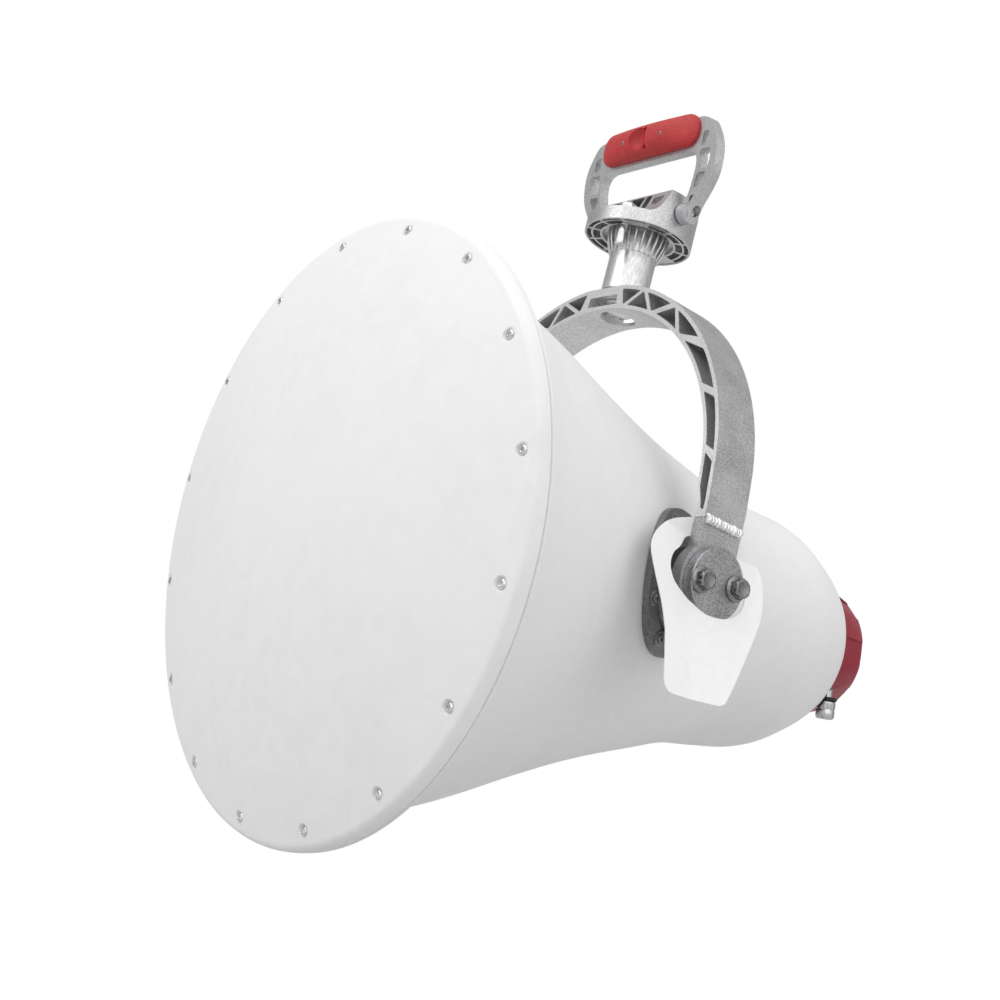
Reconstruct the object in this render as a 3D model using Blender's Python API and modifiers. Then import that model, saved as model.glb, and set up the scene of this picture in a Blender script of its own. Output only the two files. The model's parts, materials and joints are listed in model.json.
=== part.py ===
"""Horn antenna on a forked casting, hung from a round head flange with a lifting handle.

Metres, +Z up. The origin is on the flat underside of the head flange, at the front of its rim.
The stem stands on Z, the two arms straddle the horn along X, and the horn opens towards -Y.
"""

import math

import bmesh
import bpy
from mathutils import Matrix, Vector

# Driving dimensions
APERTURE_RADIUS = 0.220  # the cover's rim
HORN_LENGTH = 0.458  # front flange to rear lip
HORN_WALL = 0.003
PIVOT_FROM_FLANGE = 0.1936  # pivot axis behind the front flange
HORN_PITCH = math.radians(6.8)  # mouth down at rest
HANDLE_LEAN = math.radians(7.5)  # towards the mouth at rest
HEAD_ABOVE_PIVOT = 0.282  # underside of the head flange
HEAD_RADIUS = 0.0426
SEAT_INNER_RADIUS = 0.038
STEM_RADIUS = 0.0183
ARCH_WIDTH = 0.038
ARCH_INNER = (0.1517, 0.1540, 0.062)  # a half ellipse: half width, rise, height of its centre above the pivot
ARCH_OUTER = (0.1648, 0.1713, 0.064)
ARCH_TOP = 0.2342
ARCH_RAIL = 0.0030  # the inner and outer rims of the ribbed casting
LUG_RADIUS = 0.028
LUG_FACES = (0.157, 0.166)
TRUNNION_RADIUS = 0.052
SCREW_COUNT = 16
LOBE_COUNT = 8
GAP = 0.0003  # between pieces that touch

SEAT_MID_RADIUS = (SEAT_INNER_RADIUS + HEAD_RADIUS) / 2
STEM_Y = SEAT_MID_RADIUS
PIVOT = Vector((0.0, STEM_Y, -HEAD_ABOVE_PIVOT))
HINGE_Y = 0.0025  # handle hinge, behind the stem's axis
HINGE_Z = 0.300  # and above the pivot

# Outer profile of the bell: distance behind the front flange, radius
BELL = [
    (0.0033, 0.2074), (0.030, 0.196), (0.090, 0.1755), (0.150, 0.1525), (0.210, 0.1315),
    (0.270, 0.1145), (0.320, 0.102), (0.360, 0.0985), (0.395, 0.0945), (0.425, 0.083),
    (0.450, 0.0695), (HORN_LENGTH, 0.063),
]

TURN_X = (0, math.radians(90), 0)
TURN_MINUS_X = (0, math.radians(-90), 0)
TURN_Y = (math.radians(-90), 0, 0)
FACE_FRONT = (math.radians(90), 0, 0)  # a flat outline drawn in X and Z
FACE_SIDE = (math.radians(90), 0, math.radians(90))  # a flat outline drawn in Y and Z


def clear_scene():
    for obj in list(bpy.data.objects):
        bpy.data.objects.remove(obj, do_unlink=True)


def new_collection(name):
    collection = bpy.data.collections.new(name)
    bpy.context.scene.collection.children.link(collection)
    return collection


def material(name, colour, roughness, metallic):
    made = bpy.data.materials.new(name)
    made.use_nodes = True
    shader = made.node_tree.nodes["Principled BSDF"]
    shader.inputs["Base Color"].default_value = (*colour, 1)
    shader.inputs["Roughness"].default_value = roughness
    shader.inputs["Metallic"].default_value = metallic
    made.diffuse_color = (*colour, 1)
    return made


def empty(name, parent, location, rotation=(0, 0, 0)):
    made = bpy.data.objects.new(name, None)
    made.empty_display_size = 0.05
    parts.objects.link(made)
    made.parent = parent
    made.location = location
    made.rotation_euler = rotation
    return made


def place(mesh, name, parent, location, rotation, look=None):
    """A part when it has a material, otherwise a hidden cutter."""
    made = bpy.data.objects.new(name, mesh)
    made.parent = parent
    made.location = location
    made.rotation_euler = rotation
    if look is None:
        cutters.objects.link(made)
        made.hide_render = True
        made.display_type = "WIRE"
    else:
        parts.objects.link(made)
        mesh.materials.clear()
        mesh.materials.append(look)
    return made


def tidy_mesh(mesh, smooth_angle):
    """Welds the caps, turns every face outwards and shades the round sides smooth."""
    shape = bmesh.new()
    shape.from_mesh(mesh)
    bmesh.ops.remove_doubles(shape, verts=shape.verts, dist=1e-6)
    bmesh.ops.recalc_face_normals(shape, faces=shape.faces)
    shape.to_mesh(mesh)
    shape.free()
    if smooth_angle:
        mesh.shade_smooth()
        mesh.set_sharp_from_angle(angle=math.radians(smooth_angle))
    return mesh


def evaluated_mesh(obj, smooth_angle=0):
    """The mesh that this object's modifiers or curve settings make. The object is removed."""
    bpy.context.view_layer.update()
    graph = bpy.context.evaluated_depsgraph_get()
    mesh = bpy.data.meshes.new_from_object(obj.evaluated_get(graph))
    bpy.data.objects.remove(obj, do_unlink=True)
    return tidy_mesh(mesh, smooth_angle)


def turned(profile, steps, closed=True):
    """Turns (radius, height) points about Z. A closed profile makes a ring, an open one ends on the axis."""
    area = sum(a[0] * b[1] - b[0] * a[1] for a, b in zip(profile, profile[1:] + profile[:1]))
    if area > 0:
        profile = profile[::-1]
    mesh = bpy.data.meshes.new("profile")
    edges = [(i, i + 1) for i in range(len(profile) - 1)]
    if closed:
        edges.append((len(profile) - 1, 0))
    mesh.from_pydata([(r, 0, h) for r, h in profile], edges, [])
    guide = bpy.data.objects.new("profile", mesh)
    cutters.objects.link(guide)
    screw = guide.modifiers.new("Turn", "SCREW")
    screw.steps = screw.render_steps = steps
    screw.use_merge_vertices = True
    screw.merge_threshold = 0.00001
    return evaluated_mesh(guide, 30)


def rod(radius, low, high, steps=20, chamfer=0.0):
    """A round solid along Z, with an optional chamfer at both ends."""
    if chamfer:
        return turned([
            (0, low), (radius - chamfer, low), (radius, low + chamfer),
            (radius, high - chamfer), (radius - chamfer, high), (0, high),
        ], steps, closed=False)
    return turned([(0, low), (radius, low), (radius, high), (0, high)], steps, closed=False)


def ring(inner, outer, low, high, steps=24):
    return turned([(inner, low), (outer, low), (outer, high), (inner, high)], steps)


def plate(outlines, thickness):
    """Flat outlines, extruded both ways. Every outline after the first is an opening."""
    curve = bpy.data.curves.new("outline", "CURVE")
    curve.dimensions = "2D"
    curve.fill_mode = "BOTH"
    curve.extrude = thickness / 2
    for outline in outlines:
        spline = curve.splines.new("POLY")
        spline.points.add(len(outline) - 1)
        for point, (x, y) in zip(spline.points, outline):
            point.co = (x, y, 0, 1)
        spline.use_cyclic_u = True
    guide = bpy.data.objects.new("outline", curve)
    cutters.objects.link(guide)
    return evaluated_mesh(guide)


def box(low, high):
    shape = bmesh.new()
    size = Vector(high) - Vector(low)
    middle = (Vector(high) + Vector(low)) / 2
    bmesh.ops.create_cube(shape, size=1, matrix=Matrix.Translation(middle) @ Matrix.Diagonal((*size, 1)))
    mesh = bpy.data.meshes.new("box")
    shape.to_mesh(mesh)
    shape.free()
    return mesh


def boolean(target, other, operation="DIFFERENCE"):
    modifier = target.modifiers.new(operation.title(), "BOOLEAN")
    modifier.operation = operation
    modifier.object = other
    return modifier


def bevelled(obj, width, segments=2, angle=40):
    modifier = obj.modifiers.new("Edges", "BEVEL")
    modifier.width = width
    modifier.segments = segments
    modifier.limit_method = "ANGLE"
    modifier.angle_limit = math.radians(angle)
    return modifier


def circle(radius, count, centre=(0, 0), start=0.0):
    return [
        (
            centre[0] + radius * math.cos(start + 2 * math.pi * i / count),
            centre[1] + radius * math.sin(start + 2 * math.pi * i / count),
        )
        for i in range(count)
    ]


def hexagon(across_flats):
    return circle(across_flats / math.sqrt(3), 6, start=math.radians(30))


def smooth_line(points, per_span, cyclic=False):
    """A Catmull-Rom curve through the points."""
    count = len(points)
    line = []
    for i in range(count if cyclic else count - 1):
        if cyclic:
            p = [Vector(points[(i + k) % count]) for k in (-1, 0, 1, 2)]
        else:
            p = [Vector(points[min(max(i + k, 0), count - 1)]) for k in (-1, 0, 1, 2)]
        for step in range(per_span):
            t = step / per_span
            line.append(tuple(0.5 * (
                2 * p[1] + (p[2] - p[0]) * t
                + (2 * p[0] - 5 * p[1] + 4 * p[2] - p[3]) * t * t
                + (3 * p[1] - p[0] - 3 * p[2] + p[3]) * t * t * t
            )))
    if not cyclic:
        line.append(tuple(points[-1]))
    return line


def offset_line(line, distance):
    """Moves a line of (height, radius) points towards the axis, square to the line."""
    moved = []
    for i, point in enumerate(line):
        before, after = Vector(line[max(i - 1, 0)]), Vector(line[min(i + 1, len(line) - 1)])
        along = (after - before).normalized()
        moved.append((point[0] + along.y * distance, point[1] - along.x * distance))
    return moved


def mirrored(points):
    return [(-x, z) for x, z in reversed(points)]


clear_scene()
parts = new_collection("horn_antenna")
cutters = new_collection("cutters")

yoke_frame = empty("yoke_frame", None, PIVOT)
horn_frame = empty("horn_frame", None, PIVOT, (HORN_PITCH, 0, 0))
handle_frame_axis = empty(
    "handle_hinge", None, PIVOT + Vector((0, HINGE_Y, HINGE_Z)), (HANDLE_LEAN, 0, 0)
)
SHIFT = (0, -PIVOT_FROM_FLANGE, 0)  # horn pieces are drawn from the front flange

white_cover = material("white_cover", (0.80, 0.80, 0.80), 0.42, 0.0)
white_bell = material("white_bell", (0.78, 0.78, 0.78), 0.42, 0.0)
port_grey = material("port_grey", (0.35, 0.35, 0.36), 0.45, 0.6)
red_cap = material("red_cap", (0.42, 0.02, 0.04), 0.38, 0.0)
red_grip_front = material("red_grip_front", (0.55, 0.03, 0.04), 0.45, 0.0)
red_grip_back = material("red_grip_back", (0.54, 0.03, 0.04), 0.46, 0.0)
cast_arch = material("cast_arch", (0.50, 0.50, 0.51), 0.42, 0.85)
cast_lug = material("cast_lug", (0.49, 0.49, 0.50), 0.42, 0.85)
weld_metal = material("weld_metal", (0.62, 0.62, 0.63), 0.35, 0.9)
stem_metal = material("stem_metal", (0.60, 0.60, 0.61), 0.32, 0.9)
spline_metal = material("spline_metal", (0.45, 0.45, 0.46), 0.4, 0.9)
cast_head = material("cast_head", (0.55, 0.55, 0.56), 0.4, 0.85)
cast_handle = material("cast_handle", (0.56, 0.56, 0.57), 0.38, 0.85)
cast_trunnion = material("cast_trunnion", (0.22, 0.22, 0.23), 0.45, 0.85)
clamp_metal = material("clamp_metal", (0.38, 0.38, 0.39), 0.45, 0.85)
bolt_steel = material("bolt_steel", (0.30, 0.30, 0.31), 0.2, 1.0)
nut_steel = material("nut_steel", (0.75, 0.75, 0.76), 0.25, 1.0)
plunger_steel = material("plunger_steel", (0.62, 0.62, 0.62), 0.28, 1.0)
black_rubber = material("black_rubber", (0.02, 0.02, 0.02), 0.7, 0.0)
tag_white = material("tag_white", (0.85, 0.85, 0.85), 0.5, 0.0)


# Arch: a ribbed casting between two half ellipses, open through along Y

def on_ellipse(size, degrees, inset=0.0):
    """A point of the arch's outer or inner line, or of the line that lies inset towards the centre."""
    turn = math.radians(degrees)
    half_width, rise, centre = size
    return (
        (half_width - inset) * math.cos(turn),
        min(centre + (rise - inset) * math.sin(turn), ARCH_TOP - max(inset, 0)),
    )


def along_rim(size, inset, start, end):
    steps = max(1, round(abs(end - start) / 6))
    return [on_ellipse(size, start + (end - start) * i / steps, inset) for i in range(steps + (start != end))]


def truss_pocket(outer_span, inner_span):
    """An opening between the rims. A span of no length is a corner."""
    outer_edge = along_rim(ARCH_OUTER, ARCH_RAIL, *outer_span)
    return outer_edge + along_rim(ARCH_INNER, -ARCH_RAIL, *inner_span[::-1])


ARM_END = 0.042
arm_outer = [(0.1660, ARM_END), (0.1660, 0.0560)]
arm_inner = [(0.1570, ARM_END), (0.1570, 0.0540)]
outer_line = [on_ellipse(ARCH_OUTER, 4 + 172 * i / 42) for i in range(43)]
inner_line = [on_ellipse(ARCH_INNER, 3 + 174 * i / 42) for i in range(43)]
arch_outline = (
    arm_outer + outer_line + mirrored(arm_outer)
    + mirrored(arm_inner)[::-1] + inner_line[::-1] + arm_inner[::-1]
)
half_pockets = [
    truss_pocket((82.8, 75.0), (80.8, 80.8)),
    truss_pocket((73.5, 73.5), (79.0, 69.2)),
    truss_pocket((71.8, 60.8), (67.5, 67.5)),
    truss_pocket((58.2, 58.2), (65.0, 54.0)),
    truss_pocket((56.5, 43.5), (51.5, 51.5)),
    truss_pocket((39.0, 26.0), (48.0, 31.0)),
    truss_pocket((23.5, 9.0), (28.2, 12.2)),
    [
        on_ellipse(ARCH_OUTER, 6.2, ARCH_RAIL), (0.1618, 0.0700), (0.1630, 0.0560), (0.1630, 0.0470),
        (0.1598, 0.0485), (0.1590, 0.0530), (0.1550, 0.0640), on_ellipse(ARCH_INNER, 10.0, -ARCH_RAIL),
    ],
]
bolt_pocket = [(-0.0165, 0.2190), (0.0165, 0.2190), (0.0155, 0.2270), (-0.0155, 0.2270)]
pockets = half_pockets + [mirrored(pocket) for pocket in half_pockets] + [bolt_pocket]
yoke_arch = place(
    plate([arch_outline] + pockets, ARCH_WIDTH), "yoke_arch", yoke_frame, (0, 0, 0), FACE_FRONT, cast_arch
)
access_hole = place(rod(0.014, 0.205, 0.2215, 24), "access_hole", yoke_frame, (0, 0, 0), (0, 0, 0))
boolean(yoke_arch, access_hole)
stem_bolt_hole = place(rod(0.0083, 0.224, 0.240, 20), "stem_bolt_hole", yoke_frame, (0, 0, 0), (0, 0, 0))
boolean(yoke_arch, stem_bolt_hole)

# Lugs welded under the arms, each with a round end about the pivot and a bore for the trunnion neck
neck_angle = math.asin(ARCH_WIDTH / 2 / LUG_RADIUS)
sweep = 2 * math.pi - 2 * neck_angle
lug_outline = [
    (
        LUG_RADIUS * math.sin(neck_angle + sweep * i / 36),
        LUG_RADIUS * math.cos(neck_angle + sweep * i / 36),
    )
    for i in range(37)
] + [(-ARCH_WIDTH / 2, ARM_END - GAP), (ARCH_WIDTH / 2, ARM_END - GAP)]
BORE_RADIUS = 0.0213
for side, name in ((1, "right"), (-1, "left")):
    middle = side * sum(LUG_FACES) / 2
    place(
        plate([lug_outline, circle(BORE_RADIUS, 32)], LUG_FACES[1] - LUG_FACES[0]),
        "yoke_lug_" + name, yoke_frame, (middle, 0, 0), FACE_SIDE, cast_lug,
    )

# Weld beads: a row of ripples along the outside of each joint
ripples = 9
bead_profile = [(0, -0.0180)]
for i in range(ripples * 2 + 1):
    bead_profile.append((0.0036 if i % 2 else 0.0029, -0.0176 + 0.0352 * i / (ripples * 2)))
bead_profile.append((0, 0.0180))
for side, name in ((1, "right"), (-1, "left")):
    bead = place(
        turned(bead_profile, 8, closed=False), "weld_bead_" + name, yoke_frame,
        (side * (LUG_FACES[1] + GAP), 0, 0.0415), TURN_Y, weld_metal,
    )
    inner = place(
        box((-0.006, -0.025, -0.006), (0, 0.025, 0.006)) if side > 0
        else box((0, -0.025, -0.006), (0.006, 0.025, 0.006)),
        "bead_back_" + name, yoke_frame, (side * (LUG_FACES[1] + GAP), 0, 0.0415), (0, 0, 0),
    )
    boolean(bead, inner)

# Stem with a fluted collar that rises into the head
RECESS_FLOOR = 0.287
place(
    ring(0.0105, STEM_RADIUS, ARCH_TOP + GAP, RECESS_FLOOR - GAP, 24),
    "stem_tube", yoke_frame, (0, 0, 0), (0, 0, 0), stem_metal,
)
FLUTES = 24
flute_outline = []
for i in range(FLUTES):
    for share, radius in ((-0.34, 0.0196), (-0.22, 0.0224), (0.22, 0.0224), (0.34, 0.0196)):
        turn = 2 * math.pi * (i + share) / FLUTES
        flute_outline.append((radius * math.cos(turn), radius * math.sin(turn)))
collar_low, collar_high = 0.2675, RECESS_FLOOR - GAP
spline_collar = place(
    plate([flute_outline, circle(STEM_RADIUS + GAP, 24)], collar_high - collar_low),
    "spline_collar", yoke_frame, (0, 0, (collar_low + collar_high) / 2), (0, 0, 0), spline_metal,
)
collar_taper = place(
    turned([(0, 0.260), (0.0192, 0.260), (0.0230, 0.295), (0, 0.295)], 48, closed=False),
    "collar_taper", yoke_frame, (0, 0, 0), (0, 0, 0),
)
boolean(spline_collar, collar_taper, "INTERSECT")

# Stem bolt, its head in the arch's pocket
stem_bolt = place(plate([hexagon(0.019)], 0.0056), "stem_bolt", yoke_frame, (0, 0, 0.2218), (0, 0, 0), nut_steel)
stem_shank = place(rod(0.0080, 0.2235, 0.262, 20), "stem_shank", yoke_frame, (0, 0, 0), (0, 0, 0))
boolean(stem_bolt, stem_shank, "UNION")
place(
    ring(0.0083, 0.0135, 0.2249, 0.2267, 28), "stem_bolt_washer", yoke_frame, (0, 0, 0), (0, 0, 0), nut_steel.copy()
)

# Head casting: a flat rim below, a low wall in front and a raised box behind
head_profile = [
    (0, RECESS_FLOOR), (0.0318, RECESS_FLOOR), (0.0320, 0.2838), (0.0336, 0.2838), (0.0338, RECESS_FLOOR),
    (SEAT_INNER_RADIUS, RECESS_FLOOR), (SEAT_INNER_RADIUS, HEAD_ABOVE_PIVOT), (HEAD_RADIUS, HEAD_ABOVE_PIVOT),
    (HEAD_RADIUS, 0.3145), (HEAD_RADIUS - 0.0008, 0.3153), (0, 0.3153),
]
head_casting = place(
    turned(head_profile, 48, closed=False), "head_casting", yoke_frame, (0, 0, 0), (0, 0, 0), cast_head
)
front_cut = [
    (-0.060, 0.2925), (-0.0240, 0.2928), (-0.0205, 0.2950), (-0.0178, 0.2985), (-0.0155, 0.3030),
    (-0.0135, 0.3085), (-0.0110, 0.3154), (-0.0110, 0.3300), (-0.060, 0.3300),
]
boolean(head_casting, place(plate([front_cut], 0.12), "head_front_cut", yoke_frame, (0, 0, 0), FACE_SIDE))
# The top falls away behind, so that the handle's grip can swing past
rear_cut = [(0.0240, 0.3153), (0.0600, 0.2937), (0.0600, 0.3300), (0.0240, 0.3300)]
boolean(head_casting, place(plate([rear_cut], 0.12), "head_rear_cut", yoke_frame, (0, 0, 0), FACE_SIDE))
head_pockets = [
    [(-0.0045, 0.3200), (0.0122, 0.3200), (0.0122, 0.3049), (0.0090, 0.3054)],
    [(0.0134, 0.3200), (0.0192, 0.3200), (0.0196, 0.3028), (0.0150, 0.3034)],
    [(-0.0190, 0.3200), (-0.0075, 0.3200), (0.0035, 0.3050), (-0.0160, 0.3050)],
]
for number, outline in enumerate(head_pockets):
    pocket = place(plate([outline], 0.030), f"head_pocket_{number + 1}", yoke_frame, (0, -0.011, 0), FACE_FRONT)
    boolean(head_casting, pocket)
for side, name in ((1, "right"), (-1, "left")):
    panel = [(side * 0.0225, 0.3110), (side * 0.0350, 0.3110), (side * 0.0335, 0.3030), (side * 0.0240, 0.3030)]
    boolean(
        head_casting,
        place(plate([panel if side < 0 else panel[::-1]], 0.0140), "head_panel_" + name, yoke_frame,
              (0, -0.0160, 0), FACE_FRONT),
    )
    pin_hole = place(
        rod(0.0040, 0.030, 0.050, 20), "pin_hole_" + name, yoke_frame,
        (0, HINGE_Y, HINGE_Z), TURN_X if side > 0 else TURN_MINUS_X,
    )
    boolean(head_casting, pin_hole)
LOCK_AT = (0.0125, -0.0272)
boolean(head_casting, place(rod(0.0043, 0.275, 0.300, 20), "lock_hole", yoke_frame, (*LOCK_AT, 0), (0, 0, 0)))
boolean(head_casting, place(rod(0.0082, 0.2925, 0.320, 24), "nut_seat", yoke_frame, (*LOCK_AT, 0), (0, 0, 0)))

place(
    rod(0.0040, 0.2655, 0.3005, 18, 0.0008), "lock_bolt", yoke_frame, (*LOCK_AT, 0), (0, 0, 0), nut_steel.copy()
)
place(
    plate([hexagon(0.013), circle(0.0043, 18)], 0.0062), "lock_bolt_nut", yoke_frame,
    (*LOCK_AT, 0.2925 + 0.0031 + GAP), (0, 0, math.radians(10)), nut_steel.copy(),
)

# Handle: a flat forked frame on two pins, with a two-part grip across its top
HUB_INNER, HUB_OUTER = 0.0434, 0.0502
outer_rail = [
    (0.0550, 0.0765), (0.0635, 0.0735), (0.0700, 0.0640), (0.0745, 0.0530), (0.0755, 0.0410), (0.0735, 0.0280),
    (0.0680, 0.0170), (0.0585, 0.0060), (0.0500, -0.0040),
]
inner_rail = [
    (0.0440, -0.0040), (0.0440, 0.0050), (0.0500, 0.0130), (0.0528, 0.0240), (0.0548, 0.0350), (0.0542, 0.0430),
    (0.0505, 0.0480), (0.0450, 0.0500),
]
handle_outline = outer_rail + inner_rail
handle_outline = handle_outline + mirrored(handle_outline)
half_windows = [
    [(0.0590, 0.0640), (0.0645, 0.0630), (0.0665, 0.0530), (0.0575, 0.0520)],
    [(0.0575, 0.0490), (0.0688, 0.0490), (0.0692, 0.0400), (0.0675, 0.0330), (0.0580, 0.0330)],
    [(0.0570, 0.0300), (0.0668, 0.0300), (0.0622, 0.0205), (0.0550, 0.0175)],
    [(0.0525, 0.0120), (0.0575, 0.0125), (0.0525, 0.0060)],
]
scoop_slot = [(-0.008, 0.054), (0.008, 0.054), (0.008, 0.075), (-0.008, 0.075)]
FRAME_THICK = 0.009
handle_frame = place(
    plate([handle_outline] + half_windows + [mirrored(w) for w in half_windows] + [scoop_slot], FRAME_THICK),
    "handle_frame", handle_frame_axis, (0, 0, 0), FACE_FRONT, cast_handle,
)
for side, name in ((1, "right"), (-1, "left")):
    turn = TURN_X if side > 0 else TURN_MINUS_X
    hub = place(rod(0.0085, HUB_INNER, HUB_OUTER, 20), "hub_" + name, handle_frame_axis, (0, 0, 0), turn)
    boolean(handle_frame, hub, "UNION")
    eye = place(rod(0.0040, 0.040, 0.055, 16), "hub_eye_" + name, handle_frame_axis, (0, 0, 0), turn)
    boolean(handle_frame, eye)
    pin_seat = place(rod(0.0067, HUB_OUTER, 0.070, 16), "pin_seat_" + name, handle_frame_axis, (0, 0, 0), turn)
    boolean(handle_frame, pin_seat)
    place(
        turned([
            (0, 0.0305), (0.0037, 0.0305), (0.0037, HUB_OUTER + GAP), (0.0062, HUB_OUTER + GAP),
            (0.0062, HUB_OUTER + 0.0018), (0.0054, HUB_OUTER + 0.0026), (0, HUB_OUTER + 0.0026),
        ], 20, closed=False),
        "handle_pin_" + name, yoke_frame, (0, HINGE_Y, HINGE_Z), turn, nut_steel.copy(),
    )


def rounded_box(half_width, low, high, radius, steps=5):
    points = []
    corners = ((1, high, 0), (-1, high, 90), (-1, low, 180), (1, low, 270))
    for side, level, start in corners:
        centre = (side * (half_width - radius), level - radius if level == high else level + radius)
        for i in range(steps + 1):
            turn = math.radians(start + 90 * i / steps)
            points.append((centre[0] + radius * math.cos(turn), centre[1] + radius * math.sin(turn)))
    return points


GRIP_THICK = 0.0130
for side, name, look in ((-1, "front", red_grip_front), (1, "back", red_grip_back)):
    grip = place(
        plate([rounded_box(0.056, 0.0455, 0.0800, 0.0155), scoop_slot], GRIP_THICK), "grip_" + name,
        handle_frame_axis, (0, side * (FRAME_THICK / 2 + GAP + GRIP_THICK / 2), 0), FACE_FRONT, look,
    )
    bevelled(grip, 0.0040, 2, 60)

# Horn shell: front flange, bell and rear lip, one wall open at both ends
bell_line = BELL[:6] + smooth_line(BELL, 2)[11:]
bell_inner = offset_line(BELL, HORN_WALL)
shell_profile = (
    [(APERTURE_RADIUS - 0.0005, GAP), (APERTURE_RADIUS - 0.0005, 0.0033)] + [(r, y) for y, r in bell_line]
    + [(BELL[-1][1] - 0.0028, HORN_LENGTH)] + [(r, y) for y, r in reversed(bell_inner[1:-1])] + [(0.2040, GAP)]
)
HORN_STEPS = 36
place(turned(shell_profile, HORN_STEPS), "horn_shell", horn_frame, SHIFT, TURN_Y, white_bell)


def bell_envelope(clearance):
    """The bell's outer shape as a solid, grown by the clearance."""
    grown = offset_line(bell_line, -clearance)
    return turned([(0, grown[0][0])] + [(r, y) for y, r in grown] + [(0, grown[-1][0])], HORN_STEPS, closed=False)


# Aperture cover: a shallow dome with a straight rim
DOME_EDGE, DOME_RISE = (0.213, -0.0115), 0.0345
DOME_RADIUS = (DOME_EDGE[0] ** 2 + DOME_RISE ** 2) / (2 * DOME_RISE)
dome_centre = DOME_EDGE[1] - DOME_RISE + DOME_RADIUS


def dome(radius, count, edge):
    return [
        (edge * i / count, dome_centre - math.sqrt(radius ** 2 - (edge * i / count) ** 2))
        for i in range(count + 1)
    ]


cover_profile = (
    dome(DOME_RADIUS, 5, DOME_EDGE[0])
    + [(0.2172, -0.0102), (0.2193, -0.0078), (APERTURE_RADIUS, -0.0050), (APERTURE_RADIUS, -0.0008), (0.2192, 0.0)]
    + [(0.2010, 0.0)] + dome(DOME_RADIUS - 0.0035, 4, 0.2000)[::-1]
)
aperture_cover = place(
    turned(cover_profile, HORN_STEPS, closed=False), "aperture_cover", horn_frame, SHIFT, TURN_Y, white_cover
)
SCREW_CIRCLE = 0.2077
screw_well = rod(0.0042, -0.022, -0.0118, 8)
wells = bmesh.new()
wells.from_mesh(screw_well)
base = list(wells.verts) + list(wells.edges) + list(wells.faces)
for i in range(SCREW_COUNT):
    turn = math.radians(360 / SCREW_COUNT * (i + 0.5))
    spot = Matrix.Translation((SCREW_CIRCLE * math.cos(turn), SCREW_CIRCLE * math.sin(turn), 0))
    copy = bmesh.ops.duplicate(wells, geom=base)["geom"]
    bmesh.ops.transform(wells, matrix=spot, verts=[v for v in copy if isinstance(v, bmesh.types.BMVert)])
bmesh.ops.delete(wells, geom=[v for v in base if isinstance(v, bmesh.types.BMVert)], context="VERTS")
wells.to_mesh(screw_well)
wells.free()
boolean(aperture_cover, place(screw_well, "screw_wells", horn_frame, SHIFT, TURN_Y))

# Rear: port plate, twist cap with flats, and the lock plunger under it
place(ring(0.0080, 0.0595, 0.4548, 0.4585, 32), "port_plate", horn_frame, SHIFT, TURN_Y, port_grey)
cap_profile = [
    (0, 0.4960), (0.0480, 0.4960), (0.0510, 0.4940), (0.0560, 0.4760), (0.0588, 0.4620), (0.0588, 0.4588),
    (0.0470, 0.4588), (0.0455, 0.4620), (0.0430, 0.4850), (0, 0.4850),
]
CAP_STEPS = 40
twist_cap = place(turned(cap_profile, CAP_STEPS, closed=False), "twist_cap", horn_frame, SHIFT, TURN_Y, red_cap)
flats = bmesh.new()
for i in range(LOBE_COUNT):
    turn = Matrix.Rotation(2 * math.pi * i / LOBE_COUNT, 4, "Z")
    lean = Matrix.Rotation(math.radians(-14), 4, "Y")
    spot = Matrix.Translation((0.0600, 0, 0.4800))
    bmesh.ops.create_cube(flats, size=1, matrix=turn @ spot @ lean @ Matrix.Diagonal((0.0140, 0.0190, 0.0600, 1)))
flat_mesh = bpy.data.meshes.new("cap_flats")
flats.to_mesh(flat_mesh)
flats.free()
boolean(twist_cap, place(flat_mesh, "cap_flats", horn_frame, SHIFT, TURN_Y))
PLUNGER_AT = (0.0400, 0.4700 - PIVOT_FROM_FLANGE, 0)
boolean(twist_cap, place(rod(0.0043, -0.062, -0.012, 16), "plunger_hole", horn_frame, PLUNGER_AT, (0, 0, 0)))
boolean(twist_cap, place(rod(0.0088, -0.064, -0.0405, 24), "plunger_seat", horn_frame, PLUNGER_AT, (0, 0, 0)))
place(
    turned([
        (0, -0.0290), (0.0040, -0.0290), (0.0040, -0.0437), (0.0078, -0.0437), (0.0078, -0.0568),
        (0.0066, -0.0585), (0, -0.0585),
    ], 18, closed=False),
    "lock_plunger", horn_frame, PLUNGER_AT, (0, 0, 0), plunger_steel,
)
place(
    ring(0.0043, 0.0084, -0.0434, -0.0408, 24), "plunger_gasket", horn_frame, PLUNGER_AT, (0, 0, 0), black_rubber
)


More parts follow.
